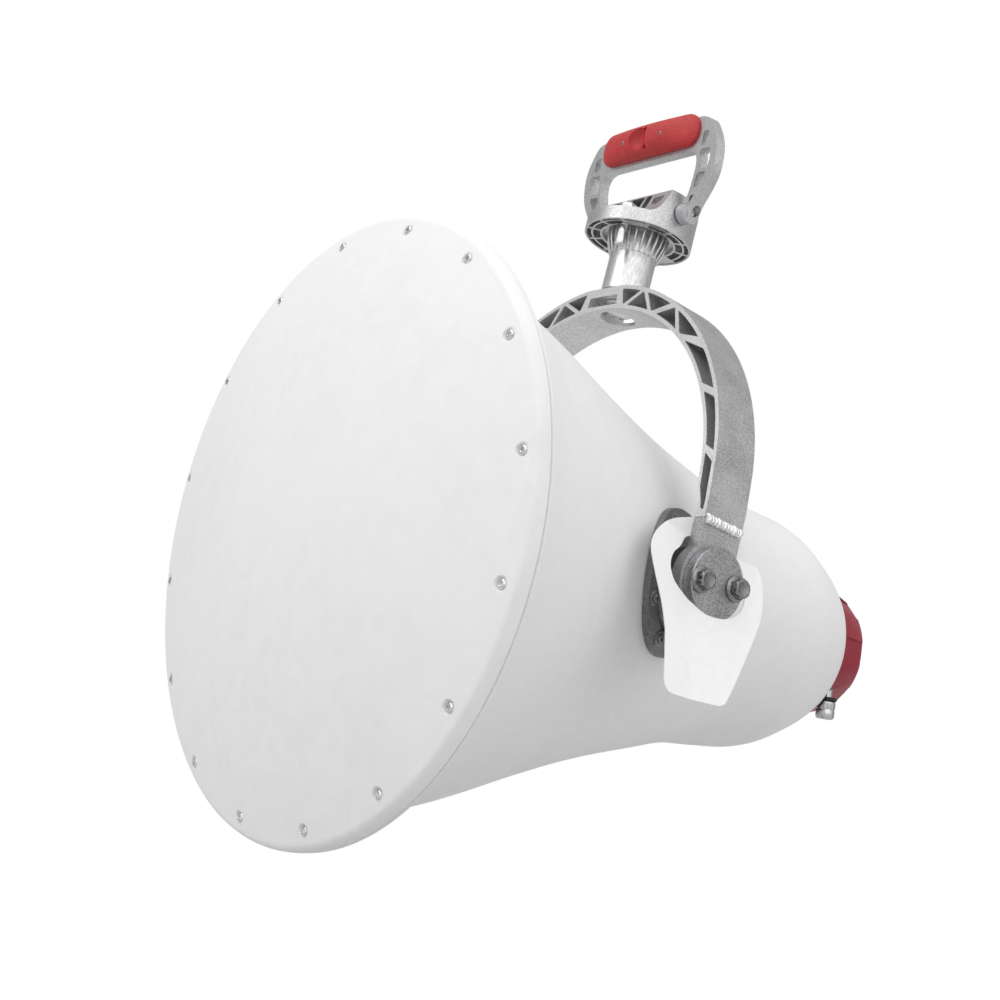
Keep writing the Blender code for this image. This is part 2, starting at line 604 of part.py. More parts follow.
# Trunnions: a saddle hugging the bell, a stepped dish, a boss and a neck through the lug
def trunnion(side, name):
    tilt = math.radians(20.5) * side
    axis = Vector((math.cos(tilt) * side, abs(math.sin(tilt)), 0))
    tilted = axis.to_track_quat("Z", "Y").to_euler()
    saddle = place(rod(TRUNNION_RADIUS, 0.10, 0.175, 36), "trunnion_flange_" + name, horn_frame, (0, 0, 0),
                   tilted, cast_trunnion)
    # Slides the disc along the flank so that its centre lies on the pivot axis
    reach = 0.1375 + 0.002
    saddle.location = Vector((side * reach, 0, 0)) - axis * reach
    skin = place(bell_envelope(0.0046), "saddle_top_" + name, horn_frame, SHIFT, TURN_Y)
    boolean(saddle, skin, "INTERSECT")
    dish = place(
        turned([(0, 0.130), (0.0385, 0.130), (0.0385, 0.1405), (0.0355, 0.1427), (0, 0.1427)], 36, closed=False),
        "dish_" + name, horn_frame, saddle.location, tilted,
    )
    boolean(saddle, dish, "UNION")
    boss = place(
        turned([
            (0, 0.115), (0.0262, 0.115), (0.0248, LUG_FACES[0] - GAP), (BORE_RADIUS - GAP, LUG_FACES[0] - GAP),
            (BORE_RADIUS - GAP, LUG_FACES[1]), (0, LUG_FACES[1]),
        ], 32, closed=False),
        "boss_" + name, horn_frame, (0, 0, 0), TURN_X if side > 0 else TURN_MINUS_X,
    )
    boolean(saddle, boss, "UNION")
    boolean(saddle, place(bell_envelope(GAP), "saddle_seat_" + name, horn_frame, SHIFT, TURN_Y))
    disc_low, disc_high = LUG_FACES[1] + GAP, 0.1740
    disc = place(
        rod(0.0250, disc_low, disc_high, 32, 0.0006), "clamp_disc_" + name, horn_frame, (0, 0, 0),
        TURN_X if side > 0 else TURN_MINUS_X, clamp_metal if side > 0 else clamp_metal.copy(),
    )
    for offset, place_name in ((-0.0166, "front"), (0.0166, "rear")):
        spot = (0, offset, 0)
        turn = TURN_X if side > 0 else TURN_MINUS_X
        hole = place(rod(0.0043, 0.150, 0.180, 12), f"bolt_hole_{name}_{place_name}", horn_frame, spot, turn)
        boolean(disc, hole)
        boolean(saddle, hole)
        bolt = place(
            plate([hexagon(0.0130)], 0.0060), f"pivot_bolt_{name}_{place_name}", horn_frame,
            (side * (disc_high + GAP + 0.0017 + 0.0029), offset, 0),
            (0, math.radians(90), 0), bolt_steel.copy(),
        )
        stack = place(
            turned([
                (0, 0.1520), (0.0039, 0.1520), (0.0039, disc_high + GAP), (0.0093, disc_high + GAP),
                (0.0090, disc_high + GAP + 0.0010), (0.0064, disc_high + GAP + 0.0022), (0, disc_high + GAP + 0.0022),
            ], 20, closed=False),
            f"bolt_flange_{name}_{place_name}", horn_frame, spot, turn,
        )
        boolean(bolt, stack, "UNION")


trunnion(1, "right")
trunnion(-1, "left")

# Hang tag: a thin looped card, hooked behind the right lug's neck and bent outwards at the front
tag_outer = smooth_line([
    (-0.021, 0.0412), (-0.040, 0.0335), (-0.052, 0.0255), (-0.063, 0.0155), (-0.069, 0.0040), (-0.066, -0.0100),
    (-0.058, -0.0310), (-0.0548, -0.0480),
], 2) + [
    (-0.0565, -0.0660), (-0.0586, -0.0800), (-0.0580, -0.0850), (-0.0540, -0.0880), (-0.0480, -0.0882),
    (-0.0230, -0.0856), (0.0020, -0.0828), (0.0078, -0.0800),
] + smooth_line([
    (0.0150, -0.0700), (0.0283, -0.0484), (0.0423, -0.0247), (0.0510, -0.0070), (0.0548, 0.0130), (0.0520, 0.0256),
    (0.0430, 0.0335), (0.0210, 0.0412),
], 2)
tag_hole = smooth_line([
    (0.0000, 0.0282), (-0.0205, 0.0277), (-0.0310, 0.0170), (-0.0400, 0.0095), (-0.0447, 0.0014), (-0.0440, -0.0060),
    (-0.0380, -0.0125), (-0.0190, -0.0199), (-0.0060, -0.0233), (0.0104, -0.0214), (0.0229, -0.0157),
    (0.0320, -0.0060), (0.0355, 0.0080), (0.0310, 0.0195), (0.0205, 0.0277),
], 2, cyclic=True)
TAG_THICK = 0.0007
hang_tag = place(plate([tag_outer, tag_hole], TAG_THICK), "hang_tag", yoke_frame, (0, 0, 0), (0, 0, 0), tag_white)
card = bmesh.new()
card.from_mesh(hang_tag.data)
bmesh.ops.triangulate(card, faces=card.faces)
for normal, spot in (((1, 0, 0), (-0.024, 0, 0)), ((0, 1, 0), (0, 0.0281, 0))):
    bmesh.ops.bisect_plane(card, geom=list(card.verts) + list(card.edges) + list(card.faces),
                           plane_co=spot, plane_no=normal, dist=1e-7)
for vert in card.verts:
    y, z, thick = vert.co
    fall = max(0.1746 - 0.371 * (z + 0.021), 0.1564)
    vert.co = (fall + 0.25 * max(0, -0.024 - y) + thick, y, z)
bmesh.ops.recalc_face_normals(card, faces=card.faces)
card.to_mesh(hang_tag.data)
card.free()

bpy.context.view_layer.update()
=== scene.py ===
import json
import math

import bmesh
import bpy
from mathutils import Matrix, Vector, noise
from mathutils.bvhtree import BVHTree


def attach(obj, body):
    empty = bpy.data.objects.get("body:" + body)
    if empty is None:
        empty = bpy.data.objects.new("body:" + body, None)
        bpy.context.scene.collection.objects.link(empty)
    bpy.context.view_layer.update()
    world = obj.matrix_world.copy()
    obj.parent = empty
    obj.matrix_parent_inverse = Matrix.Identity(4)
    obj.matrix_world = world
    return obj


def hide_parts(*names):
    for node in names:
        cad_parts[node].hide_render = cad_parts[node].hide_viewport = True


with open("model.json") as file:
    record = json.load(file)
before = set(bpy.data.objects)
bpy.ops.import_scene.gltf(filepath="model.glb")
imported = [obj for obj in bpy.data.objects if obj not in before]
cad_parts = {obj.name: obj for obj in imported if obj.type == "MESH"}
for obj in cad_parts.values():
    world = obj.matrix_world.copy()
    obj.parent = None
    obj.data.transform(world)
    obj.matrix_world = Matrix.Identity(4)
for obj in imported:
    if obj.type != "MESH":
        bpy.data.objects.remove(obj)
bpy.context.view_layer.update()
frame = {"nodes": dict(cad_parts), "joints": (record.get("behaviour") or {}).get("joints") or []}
print("frame loaded:", len(frame["nodes"]), "nodes")

# Three places: the yoke stands still, the horn tips about the pivot, the handle swings on its pins
joints = {joint["name"]: joint for joint in frame["joints"]}
pivot = Vector(joints["horn_elevation"]["pos_m"])
hinge = Vector(joints["handle_hinge"]["pos_m"])
rest = {"hornPitch": 6.8, "handleLean": 7.5, "pivotFromFlange": 0.1936}  # degrees, degrees, metres

onYoke = Matrix.Translation(pivot)
aboutPivot = onYoke @ Matrix.Rotation(math.radians(rest["hornPitch"]), 4, "X")
onHorn = aboutPivot @ Matrix.Translation((0, -rest["pivotFromFlange"], 0))  # y runs back from the front flange
onHandle = Matrix.Translation(hinge) @ Matrix.Rotation(math.radians(rest["handleLean"]), 4, "X")

alongY = Matrix.Rotation(math.radians(-90), 4, "X")  # a turned shape's Z goes backwards
faceFront = Matrix.Rotation(math.radians(90), 4, "X")  # a flat outline drawn in X and Z
faceSide = Matrix.Rotation(math.radians(90), 4, "Z") @ faceFront  # a flat outline drawn in Y and Z


def alongX(side):
    return Matrix.Rotation(math.radians(90 * side), 4, "Y")


def at(x, y, z):
    return Matrix.Translation((x, y, z))


# Outlines and profiles

def roundCorners(points, closed=True, steps=4):
    # A point may carry a third number, the cut of its rounded corner
    line = []
    count = len(points)
    for i, point in enumerate(points):
        here = Vector(point[:2])
        ends = not closed and i in (0, count - 1)
        if len(point) < 3 or ends:
            line.append(tuple(here))
            continue
        back = Vector(points[i - 1][:2]) - here
        ahead = Vector(points[(i + 1) % count][:2]) - here
        cut = min(point[2], back.length * 0.48, ahead.length * 0.48)
        start, end = here + back.normalized() * cut, here + ahead.normalized() * cut
        for step in range(steps + 1):
            t = step / steps
            line.append(tuple(start * (1 - t) ** 2 + here * 2 * t * (1 - t) + end * t * t))
    return line


def smoothLine(points, perSpan, cyclic=False):
    # A Catmull-Rom curve through the points
    count = len(points)
    line = []
    for i in range(count if cyclic else count - 1):
        if cyclic:
            p = [Vector(points[(i + k) % count]) for k in (-1, 0, 1, 2)]
        else:
            p = [Vector(points[min(max(i + k, 0), count - 1)]) for k in (-1, 0, 1, 2)]
        for step in range(perSpan):
            t = step / perSpan
            line.append(tuple(0.5 * (
                2 * p[1] + (p[2] - p[0]) * t
                + (2 * p[0] - 5 * p[1] + 4 * p[2] - p[3]) * t * t
                + (3 * p[1] - p[0] - 3 * p[2] + p[3]) * t * t * t
            )))
    if not cyclic:
        line.append(tuple(points[-1]))
    return line


def mirrored(points):
    return [(-point[0], *point[1:]) for point in reversed(points)]


def circle(radius, count, centre=(0, 0), start=0.0):
    turns = [start + 2 * math.pi * i / count for i in range(count)]
    return [(centre[0] + radius * math.cos(t), centre[1] + radius * math.sin(t)) for t in turns]


def hexagon(acrossFlats):
    return circle(acrossFlats / math.sqrt(3), 6, start=math.radians(30))


def between(low, high, share):
    return low + (high - low) * share


def smoothStep(low, high, value):
    t = min(max((value - low) / (high - low), 0.0), 1.0)
    return t * t * (3 - 2 * t)


# Meshes

def meshOf(shape, name="shape", smoothAngle=35):
    mesh = bpy.data.meshes.new(name)
    shape.to_mesh(mesh)
    shape.free()
    return shaded(mesh, smoothAngle)


def shaded(mesh, smoothAngle=35):
    mesh.shade_smooth()
    mesh.set_sharp_from_angle(angle=math.radians(smoothAngle))
    return mesh


def gridMesh(rows, closeRows=False, smoothAngle=35):
    # Rows of points round a ring. A row of one point is a pole
    shape = bmesh.new()
    rings = [[shape.verts.new(point) for point in row] for row in rows]
    pairs = list(zip(rings, rings[1:])) + ([(rings[-1], rings[0])] if closeRows else [])
    for low, high in pairs:
        count = max(len(low), len(high))
        for i in range(count):
            j = (i + 1) % count
            corners = [low[i % len(low)], low[j % len(low)], high[j % len(high)], high[i % len(high)]]
            distinct = list(dict.fromkeys(corners))
            if len(distinct) > 2:
                shape.faces.new(distinct)
    bmesh.ops.recalc_face_normals(shape, faces=shape.faces)
    return meshOf(shape, smoothAngle=smoothAngle)


def turned(profile, steps, closed=False, smoothAngle=35, flute=None):
    # Turns (radius, height) points about Z. flute changes a radius by its angle and height
    rows = []
    for radius, height in profile:
        if radius < 1e-6:
            rows.append([(0, 0, height)])
            continue
        row = []
        for i in range(steps):
            turn = 2 * math.pi * i / steps
            r = flute(radius, height, turn) if flute else radius
            row.append((r * math.cos(turn), r * math.sin(turn), height))
        rows.append(row)
    return gridMesh(rows, closed, smoothAngle)


def flatPiece(outlines, thickness):
    # Outlines after the first are openings
    curve = bpy.data.curves.new("outline", "CURVE")
    curve.dimensions = "2D"
    curve.fill_mode = "BOTH"
    curve.extrude = thickness / 2
    for outline in outlines:
        spline = curve.splines.new("POLY")
        spline.points.add(len(outline) - 1)
        for point, (x, y) in zip(spline.points, outline):
            point.co = (x, y, 0, 1)
        spline.use_cyclic_u = True
    guide = bpy.data.objects.new("outline", curve)
    bpy.context.scene.collection.objects.link(guide)
    mesh = bpy.data.meshes.new_from_object(guide.evaluated_get(bpy.context.evaluated_depsgraph_get()))
    bpy.data.objects.remove(guide)
    shape = bmesh.new()
    shape.from_mesh(mesh)
    bmesh.ops.remove_doubles(shape, verts=shape.verts, dist=1e-6)
    bmesh.ops.recalc_face_normals(shape, faces=shape.faces)
    return meshOf(shape)


def joined(*placed):
    # One mesh of several, each with its place
    shape = bmesh.new()
    for mesh, place in placed:
        copy = mesh.copy()
        copy.transform(place)
        if place.determinant() < 0:
            copy.flip_normals()
        shape.from_mesh(copy)
    return meshOf(shape)


def newObject(name, mesh):
    made = bpy.data.objects.new(name, mesh)
    bpy.context.scene.collection.objects.link(made)
    return made


def softEdges(obj, width, segments=2, angle=35):
    modifier = obj.modifiers.new("Edges", "BEVEL")
    modifier.width = width
    modifier.segments = segments
    modifier.limit_method = "ANGLE"
    modifier.angle_limit = math.radians(angle)
    modifier.harden_normals = True
    return obj


def cut(obj, mesh, operation="DIFFERENCE"):
    tool = newObject("tool", mesh)
    modifier = obj.modifiers.new("Cut", "BOOLEAN")
    modifier.operation = operation
    modifier.object = tool
    settle(obj)
    bpy.data.objects.remove(tool)
    return obj


def settle(obj):
    # Applies the modifiers
    bpy.context.view_layer.update()
    graph = bpy.context.evaluated_depsgraph_get()
    mesh = bpy.data.meshes.new_from_object(obj.evaluated_get(graph))
    obj.modifiers.clear()
    obj.data = mesh
    return obj


def finishPiece(obj, place, looks, body, nodes=()):
    settle(obj)
    obj.data.transform(place)
    if looks:
        obj.data.materials.clear()
        for look in looks:
            obj.data.materials.append(look)
    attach(obj, body)
    if nodes:
        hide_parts(*nodes)
    return obj


# Node trees

def put(tree, kind, values=None, **settings):
    made = tree.nodes.new(kind)
    for key, value in settings.items():
        setattr(made, key, value)
    for key, value in (values or {}).items():
        if isinstance(value, bpy.types.NodeSocket):
            tree.links.new(value, made.inputs[key])
        else:
            made.inputs[key].default_value = value
    return made


def maths(tree, operation, *values):
    return put(tree, "ShaderNodeMath", dict(enumerate(values)), operation=operation).outputs[0]


def newTree(name, kind, inputs, outputs):
    tree = bpy.data.node_groups.new(name, kind)
    for label, socketKind, value in inputs:
        socket = tree.interface.new_socket(label, in_out="INPUT", socket_type=socketKind)
        if value is not None:
            socket.default_value = value
    for label, socketKind in outputs:
        tree.interface.new_socket(label, in_out="OUTPUT", socket_type=socketKind)
    return tree, put(tree, "NodeGroupInput").outputs


def useTree(obj, tree, values):
    modifier = obj.modifiers.new(tree.name, "NODES")
    modifier.node_group = tree
    for item in tree.interface.items_tree:
        if item.item_type == "SOCKET" and item.in_out == "INPUT" and item.name in values:
            modifier[item.identifier] = values[item.name]
    return settle(obj)


def endTree(tree, geometry, material):
    real = put(tree, "GeometryNodeRealizeInstances", {"Geometry": geometry}).outputs[0]
    painted = put(tree, "GeometryNodeSetMaterial", {"Geometry": real, "Material": material}).outputs[0]
    put(tree, "NodeGroupOutput", {"Geometry": painted})


def ringTree():
    # Copies the object's own mesh round a ring about Z, bent over a barrel that lies along X
    tree, given = newTree("copiesOnRing", "GeometryNodeTree", [
        ("Geometry", "NodeSocketGeometry", None), ("Count", "NodeSocketInt", 8), ("Radius", "NodeSocketFloat", 0.1),
        ("First Angle", "NodeSocketFloat", 0.0), ("Barrel Radius", "NodeSocketFloat", 1000.0),
        ("Material", "NodeSocketMaterial", None),
    ], [("Geometry", "NodeSocketGeometry")])
    ring = put(tree, "GeometryNodeMeshCircle", {"Vertices": given["Count"], "Radius": given["Radius"]})
    spin = put(tree, "ShaderNodeCombineXYZ", {"Z": given["First Angle"]})
    points = put(tree, "GeometryNodeTransform", {"Geometry": ring.outputs[0], "Rotation": spin.outputs[0]})
    place = put(tree, "ShaderNodeSeparateXYZ", {0: put(tree, "GeometryNodeInputPosition").outputs[0]})
    slope = maths(tree, "DIVIDE", place.outputs[1], given["Barrel Radius"])
    drop = maths(tree, "MULTIPLY", maths(tree, "MULTIPLY", slope, place.outputs[1]), -0.5)
    bent = put(tree, "GeometryNodeSetPosition", {
        "Geometry": points.outputs[0], "Offset": put(tree, "ShaderNodeCombineXYZ", {"Z": drop}).outputs[0],
    })
    around = maths(tree, "ARCTAN2", place.outputs[1], place.outputs[0])
    facing = put(tree, "FunctionNodeEulerToRotation", {0: put(tree, "ShaderNodeCombineXYZ", {"Z": around}).outputs[0]})
    normal = put(tree, "ShaderNodeCombineXYZ", {"Y": slope, "Z": 1.0})
    leaning = put(tree, "FunctionNodeAlignRotationToVector", {
        "Rotation": facing.outputs[0], "Vector": normal.outputs[0],
    }, axis="Z")
    copies = put(tree, "GeometryNodeInstanceOnPoints", {
        "Points": bent.outputs[0], "Instance": given["Geometry"], "Rotation": leaning.outputs[0],
    })
    endTree(tree, copies.outputs[0], given["Material"])
    return tree


def rowTree():
    # Copies the object's own mesh along a straight row, each turned and sized a little differently
    tree, given = newTree("copiesInRow", "GeometryNodeTree", [
        ("Geometry", "NodeSocketGeometry", None), ("Count", "NodeSocketInt", 8), ("Start", "NodeSocketVector", (0, 0, 0)),
        ("Step", "NodeSocketVector", (0, 0.004, 0)), ("Unevenness", "NodeSocketFloat", 0.1), ("Seed", "NodeSocketInt", 3),
        ("Material", "NodeSocketMaterial", None),
    ], [("Geometry", "NodeSocketGeometry")])
    line = put(tree, "GeometryNodeMeshLine", {
        "Count": given["Count"], "Start Location": given["Start"], "Offset": given["Step"],
    }, mode="OFFSET")
    smallest = maths(tree, "SUBTRACT", 1.0, given["Unevenness"])
    largest = maths(tree, "ADD", 1.0, given["Unevenness"])
    size = put(tree, "FunctionNodeRandomValue", {2: smallest, 3: largest, "Seed": given["Seed"]}, data_type="FLOAT")
    tip = put(tree, "FunctionNodeRandomValue", {
        0: (-0.12, 0, -0.12), 1: (0.12, 0, 0.12), "Seed": given["Seed"],
    }, data_type="FLOAT_VECTOR")
    turn = put(tree, "FunctionNodeEulerToRotation", {0: tip.outputs[0]})
    copies = put(tree, "GeometryNodeInstanceOnPoints", {
        "Points": line.outputs[0], "Instance": given["Geometry"],
        "Rotation": turn.outputs[0], "Scale": size.outputs[1],
    })
    endTree(tree, copies.outputs[0], given["Material"])
    return tree


onRing = ringTree()
inRow = rowTree()

# Shader groups, each used by several materials

def grainGroup():
    # Sand-cast grain: speckled colour, uneven gloss and a pebbled height
    tree, given = newTree("castGrain", "ShaderNodeTree", [
        ("Vector", "NodeSocketVector", None), ("Grains per Metre", "NodeSocketFloat", 1800.0),
        ("Dark", "NodeSocketColor", (0.3, 0.3, 0.3, 1)), ("Light", "NodeSocketColor", (0.6, 0.6, 0.6, 1)),
        ("Gloss", "NodeSocketFloat", 0.4), ("Dullness", "NodeSocketFloat", 0.6),
    ], [("Colour", "NodeSocketColor"), ("Roughness", "NodeSocketFloat"), ("Height", "NodeSocketFloat")])
    fine = put(tree, "ShaderNodeTexNoise", {
        "Vector": given["Vector"], "Scale": given["Grains per Metre"], "Detail": 3.0, "Roughness": 0.6,
    })
    pits = put(tree, "ShaderNodeTexVoronoi", {
        "Vector": given["Vector"], "Scale": maths(tree, "MULTIPLY", given["Grains per Metre"], 0.55),
    })
    broad = put(tree, "ShaderNodeTexNoise", {"Vector": given["Vector"], "Scale": 38.0, "Detail": 4.0})
    pebbles = put(tree, "ShaderNodeMapRange", {0: pits.outputs["Distance"], 1: 0.0, 2: 0.7, 3: 0.0, 4: 1.0})
    speckle = maths(tree, "ADD", maths(tree, "MULTIPLY", fine.outputs[0], 0.65), maths(tree, "MULTIPLY", pebbles.outputs[0], 0.35))
    patchy = maths(tree, "ADD", maths(tree, "MULTIPLY", speckle, 0.7), maths(tree, "MULTIPLY", broad.outputs[0], 0.3))
    share = put(tree, "ShaderNodeMapRange", {0: patchy, 1: 0.34, 2: 0.66, 3: 0.0, 4: 1.0})
    colour = put(tree, "ShaderNodeMix", {0: share.outputs[0], 6: given["Dark"], 7: given["Light"]}, data_type="RGBA")
    rough = put(tree, "ShaderNodeMapRange", {0: patchy, 1: 0.3, 2: 0.7, 3: given["Dullness"], 4: given["Gloss"]})
    put(tree, "NodeGroupOutput", {"Colour": colour.outputs[2], "Roughness": rough.outputs[0], "Height": speckle})
    return tree


def marksGroup():
    # Faint handling marks and mottling, as on moulded plastic, paint and card
    tree, given = newTree("handlingMarks", "ShaderNodeTree", [
        ("Vector", "NodeSocketVector", None), ("Size", "NodeSocketFloat", 14.0),
        ("Clean", "NodeSocketColor", (0.8, 0.8, 0.8, 1)), ("Marked", "NodeSocketColor", (0.7, 0.7, 0.7, 1)),
        ("Gloss", "NodeSocketFloat", 0.35), ("Dullness", "NodeSocketFloat", 0.5), ("Peel", "NodeSocketFloat", 900.0),
    ], [("Colour", "NodeSocketColor"), ("Roughness", "NodeSocketFloat"), ("Height", "NodeSocketFloat")])
    broad = put(tree, "ShaderNodeTexNoise", {"Vector": given["Vector"], "Scale": given["Size"], "Detail": 5.0})
    rubs = put(tree, "ShaderNodeTexNoise", {
        "Vector": given["Vector"], "Scale": maths(tree, "MULTIPLY", given["Size"], 6.0), "Detail": 2.0, "Distortion": 1.2,
    })
    both = maths(tree, "MULTIPLY", broad.outputs[0], rubs.outputs[0])
    share = put(tree, "ShaderNodeMapRange", {0: both, 1: 0.16, 2: 0.42, 3: 0.0, 4: 1.0})
    colour = put(tree, "ShaderNodeMix", {0: share.outputs[0], 6: given["Clean"], 7: given["Marked"]}, data_type="RGBA")
    rough = put(tree, "ShaderNodeMapRange", {0: rubs.outputs[0], 1: 0.3, 2: 0.7, 3: given["Gloss"], 4: given["Dullness"]})
    peel = put(tree, "ShaderNodeTexNoise", {"Vector": given["Vector"], "Scale": given["Peel"], "Detail": 1.0})
    put(tree, "NodeGroupOutput", {"Colour": colour.outputs[2], "Roughness": rough.outputs[0], "Height": peel.outputs[0]})
    return tree


castGrain = grainGroup()
handlingMarks = marksGroup()


def newLook(name, group, values, bump=0.0002, stretch=(1, 1, 1), **constants):
    # A Principled material fed by one shader group, with its steady numbers set on the shader itself
    look = bpy.data.materials.new(name)
    look.use_nodes = True
    tree = look.node_tree
    shader = tree.nodes["Principled BSDF"]
    for label, value in constants.items():
        shader.inputs[label.replace("_", " ")].default_value = value
    spot = put(tree, "ShaderNodeTexCoord").outputs["Object"]
    spot = put(tree, "ShaderNodeMapping", {"Vector": spot, "Scale": stretch}).outputs[0]
    effect = put(tree, "ShaderNodeGroup", node_tree=group)
    tree.links.new(spot, effect.inputs["Vector"])
    for label, value in values.items():
        effect.inputs[label].default_value = (*value, 1) if isinstance(value, tuple) else value
    tree.links.new(effect.outputs["Colour"], shader.inputs["Base Color"])
    tree.links.new(effect.outputs["Roughness"], shader.inputs["Roughness"])
    height = put(tree, "ShaderNodeBump", {"Height": effect.outputs["Height"], "Distance": bump, "Strength": 1.0})
    tree.links.new(height.outputs[0], shader.inputs["Normal"])
    return look


looks = {
    "cover": newLook("coverPlastic", handlingMarks, {
        "Clean": (0.83, 0.83, 0.83), "Marked": (0.79, 0.79, 0.79), "Gloss": 0.42, "Dullness": 0.52, "Size": 7.0,
    }, bump=0.00002),
    "bell": newLook("bellPaint", handlingMarks, {
        "Clean": (0.80, 0.80, 0.80), "Marked": (0.765, 0.765, 0.765), "Gloss": 0.38, "Dullness": 0.48, "Size": 9.0,
    }, bump=0.00002),
    "cast": newLook("sandCastAluminium", castGrain, {
        "Dark": (0.24, 0.24, 0.25), "Light": (0.60, 0.60, 0.61), "Gloss": 0.38, "Dullness": 0.62,
    }, bump=0.00025, Metallic=0.85),
    # A lighter copy of the casting grain: painted highlight for the arch faces toward front and back
    "paintedHighlightEdge": newLook("paintedHighlightCasting", castGrain, {
        "Dark": (0.52, 0.52, 0.53), "Light": (0.86, 0.86, 0.86), "Gloss": 0.32, "Dullness": 0.5,
    }, bump=0.00015, Metallic=0.8),
    # A smoother, lighter copy of the casting grain: painted fill that lifts the shade on the arch underside and in its
    # pockets
    "smoothPaintedFill": newLook("smoothAluminiumPaintedFill", castGrain, {
        "Dark": (0.50, 0.50, 0.51), "Light": (0.70, 0.70, 0.70), "Gloss": 0.36, "Dullness": 0.5,
        "Grains per Metre": 800.0,
    }, bump=0.00006, Metallic=0.8),
    "head": newLook("headAluminium", castGrain, {
        "Dark": (0.42, 0.42, 0.43), "Light": (0.66, 0.66, 0.67), "Gloss": 0.30, "Dullness": 0.48,
        "Grains per Metre": 1200.0,
    }, bump=0.00012, Metallic=0.9),
    "stem": newLook("stemAluminium", castGrain, {
        "Dark": (0.56, 0.56, 0.57), "Light": (0.76, 0.76, 0.76), "Gloss": 0.26, "Dullness": 0.42,
        "Grains per Metre": 900.0,
    }, bump=0.00005, stretch=(1, 1, 0.35), Metallic=0.9),
    "weld": newLook("weldMetal", castGrain, {
        "Dark": (0.55, 0.55, 0.56), "Light": (0.90, 0.90, 0.90), "Gloss": 0.22, "Dullness": 0.38,
        "Grains per Metre": 700.0,
    }, bump=0.00008, Metallic=0.9),
    "trunnion": newLook("darkCasting", castGrain, {
        "Dark": (0.10, 0.10, 0.105), "Light": (0.27, 0.27, 0.28), "Gloss": 0.34, "Dullness": 0.55,
        "Grains per Metre": 1300.0,
    }, bump=0.0002, Metallic=0.85),
    "clamp": newLook("clampCasting", castGrain, {
        "Dark": (0.17, 0.17, 0.175), "Light": (0.44, 0.44, 0.45), "Gloss": 0.34, "Dullness": 0.5,
        "Grains per Metre": 1100.0,
    }, bump=0.0002, Metallic=0.85),
    "bolt": newLook("darkBoltSteel", castGrain, {
        "Dark": (0.16, 0.16, 0.165), "Light": (0.30, 0.30, 0.31), "Gloss": 0.10, "Dullness": 0.22,
        "Grains per Metre": 600.0,
    }, bump=0.00002, Metallic=1.0),
    "steel": newLook("brightSteel", castGrain, {
        "Dark": (0.55, 0.55, 0.56), "Light": (0.80, 0.80, 0.80), "Gloss": 0.12, "Dullness": 0.26,
        "Grains per Metre": 700.0,
    }, bump=0.00002, Metallic=1.0),
    "plunger": newLook("machinedSteel", castGrain, {
        "Dark": (0.34, 0.34, 0.35), "Light": (0.70, 0.70, 0.70), "Gloss": 0.16, "Dullness": 0.34,
        "Grains per Metre": 900.0,
    }, bump=0.00004, stretch=(1, 1, 0.08), Metallic=1.0),
    "cap": newLook("crimsonCap", handlingMarks, {
        "Clean": (0.30, 0.012, 0.030), "Marked": (0.24, 0.010, 0.022), "Gloss": 0.26, "Dullness": 0.38, "Size": 30.0,
    }, bump=0.00003, Specular_IOR_Level=0.3),
    # Black rubber for the plunger gasket, also used as painted shade inside the cover screws' sockets
    "rubberAndSocketShade": newLook("blackRubberAndSocketShade", handlingMarks, {
        "Clean": (0.012, 0.012, 0.013), "Marked": (0.03, 0.03, 0.03), "Gloss": 0.55, "Dullness": 0.8, "Size": 60.0,
    }, bump=0.00005),
    "tag": newLook("tagCard", handlingMarks, {
        "Clean": (0.90, 0.90, 0.90), "Marked": (0.86, 0.86, 0.865), "Gloss": 0.40, "Dullness": 0.55, "Size": 16.0,
    }, bump=0.00002),
}


def gripLook():
    # Red moulding with fine raised bars that run along the grip
    look = newLook("grippyRed", handlingMarks, {
        "Clean": (0.50, 0.024, 0.026), "Marked": (0.42, 0.018, 0.020), "Gloss": 0.42, "Dullness": 0.58, "Size": 40.0,
    }, bump=0.00003)
    tree = look.node_tree
    spot = put(tree, "ShaderNodeTexCoord").outputs["Object"]
    bars = put(tree, "ShaderNodeTexWave", {"Vector": spot, "Scale": 190.0, "Distortion": 0.0}, bands_direction="Z")
    smooth = next(node for node in tree.nodes if node.type == "BUMP")
    ridges = put(tree, "ShaderNodeBump", {
        "Height": bars.outputs["Fac"], "Distance": 0.00016, "Strength": 0.8, "Normal": smooth.outputs[0],
    })
    tree.links.new(ridges.outputs[0], tree.nodes["Principled BSDF"].inputs["Normal"])
    return look


looks["grip"] = gripLook()
print("materials ready:", len(looks))


# Bell: one wall whose radius follows a curve from the mouth to the rear lip
bell = {
    "steps": 144, "rows": 72, "wall": 0.003, "length": 0.458, "widest": 0.22,
    "line": [
        (0.0033, 0.2074), (0.030, 0.196), (0.090, 0.1755), (0.150, 0.1525), (0.210, 0.1315), (0.270, 0.1145),
        (0.320, 0.102), (0.360, 0.0985), (0.395, 0.0945), (0.425, 0.083), (0.450, 0.0695), (0.458, 0.063),
    ],
    "flange": [(0.2025, 0.0004), (0.2188, 0.0004), (0.2195, 0.0012), (0.2195, 0.0026), (0.2188, 0.0033), (0.2025, 0.0033)],
}


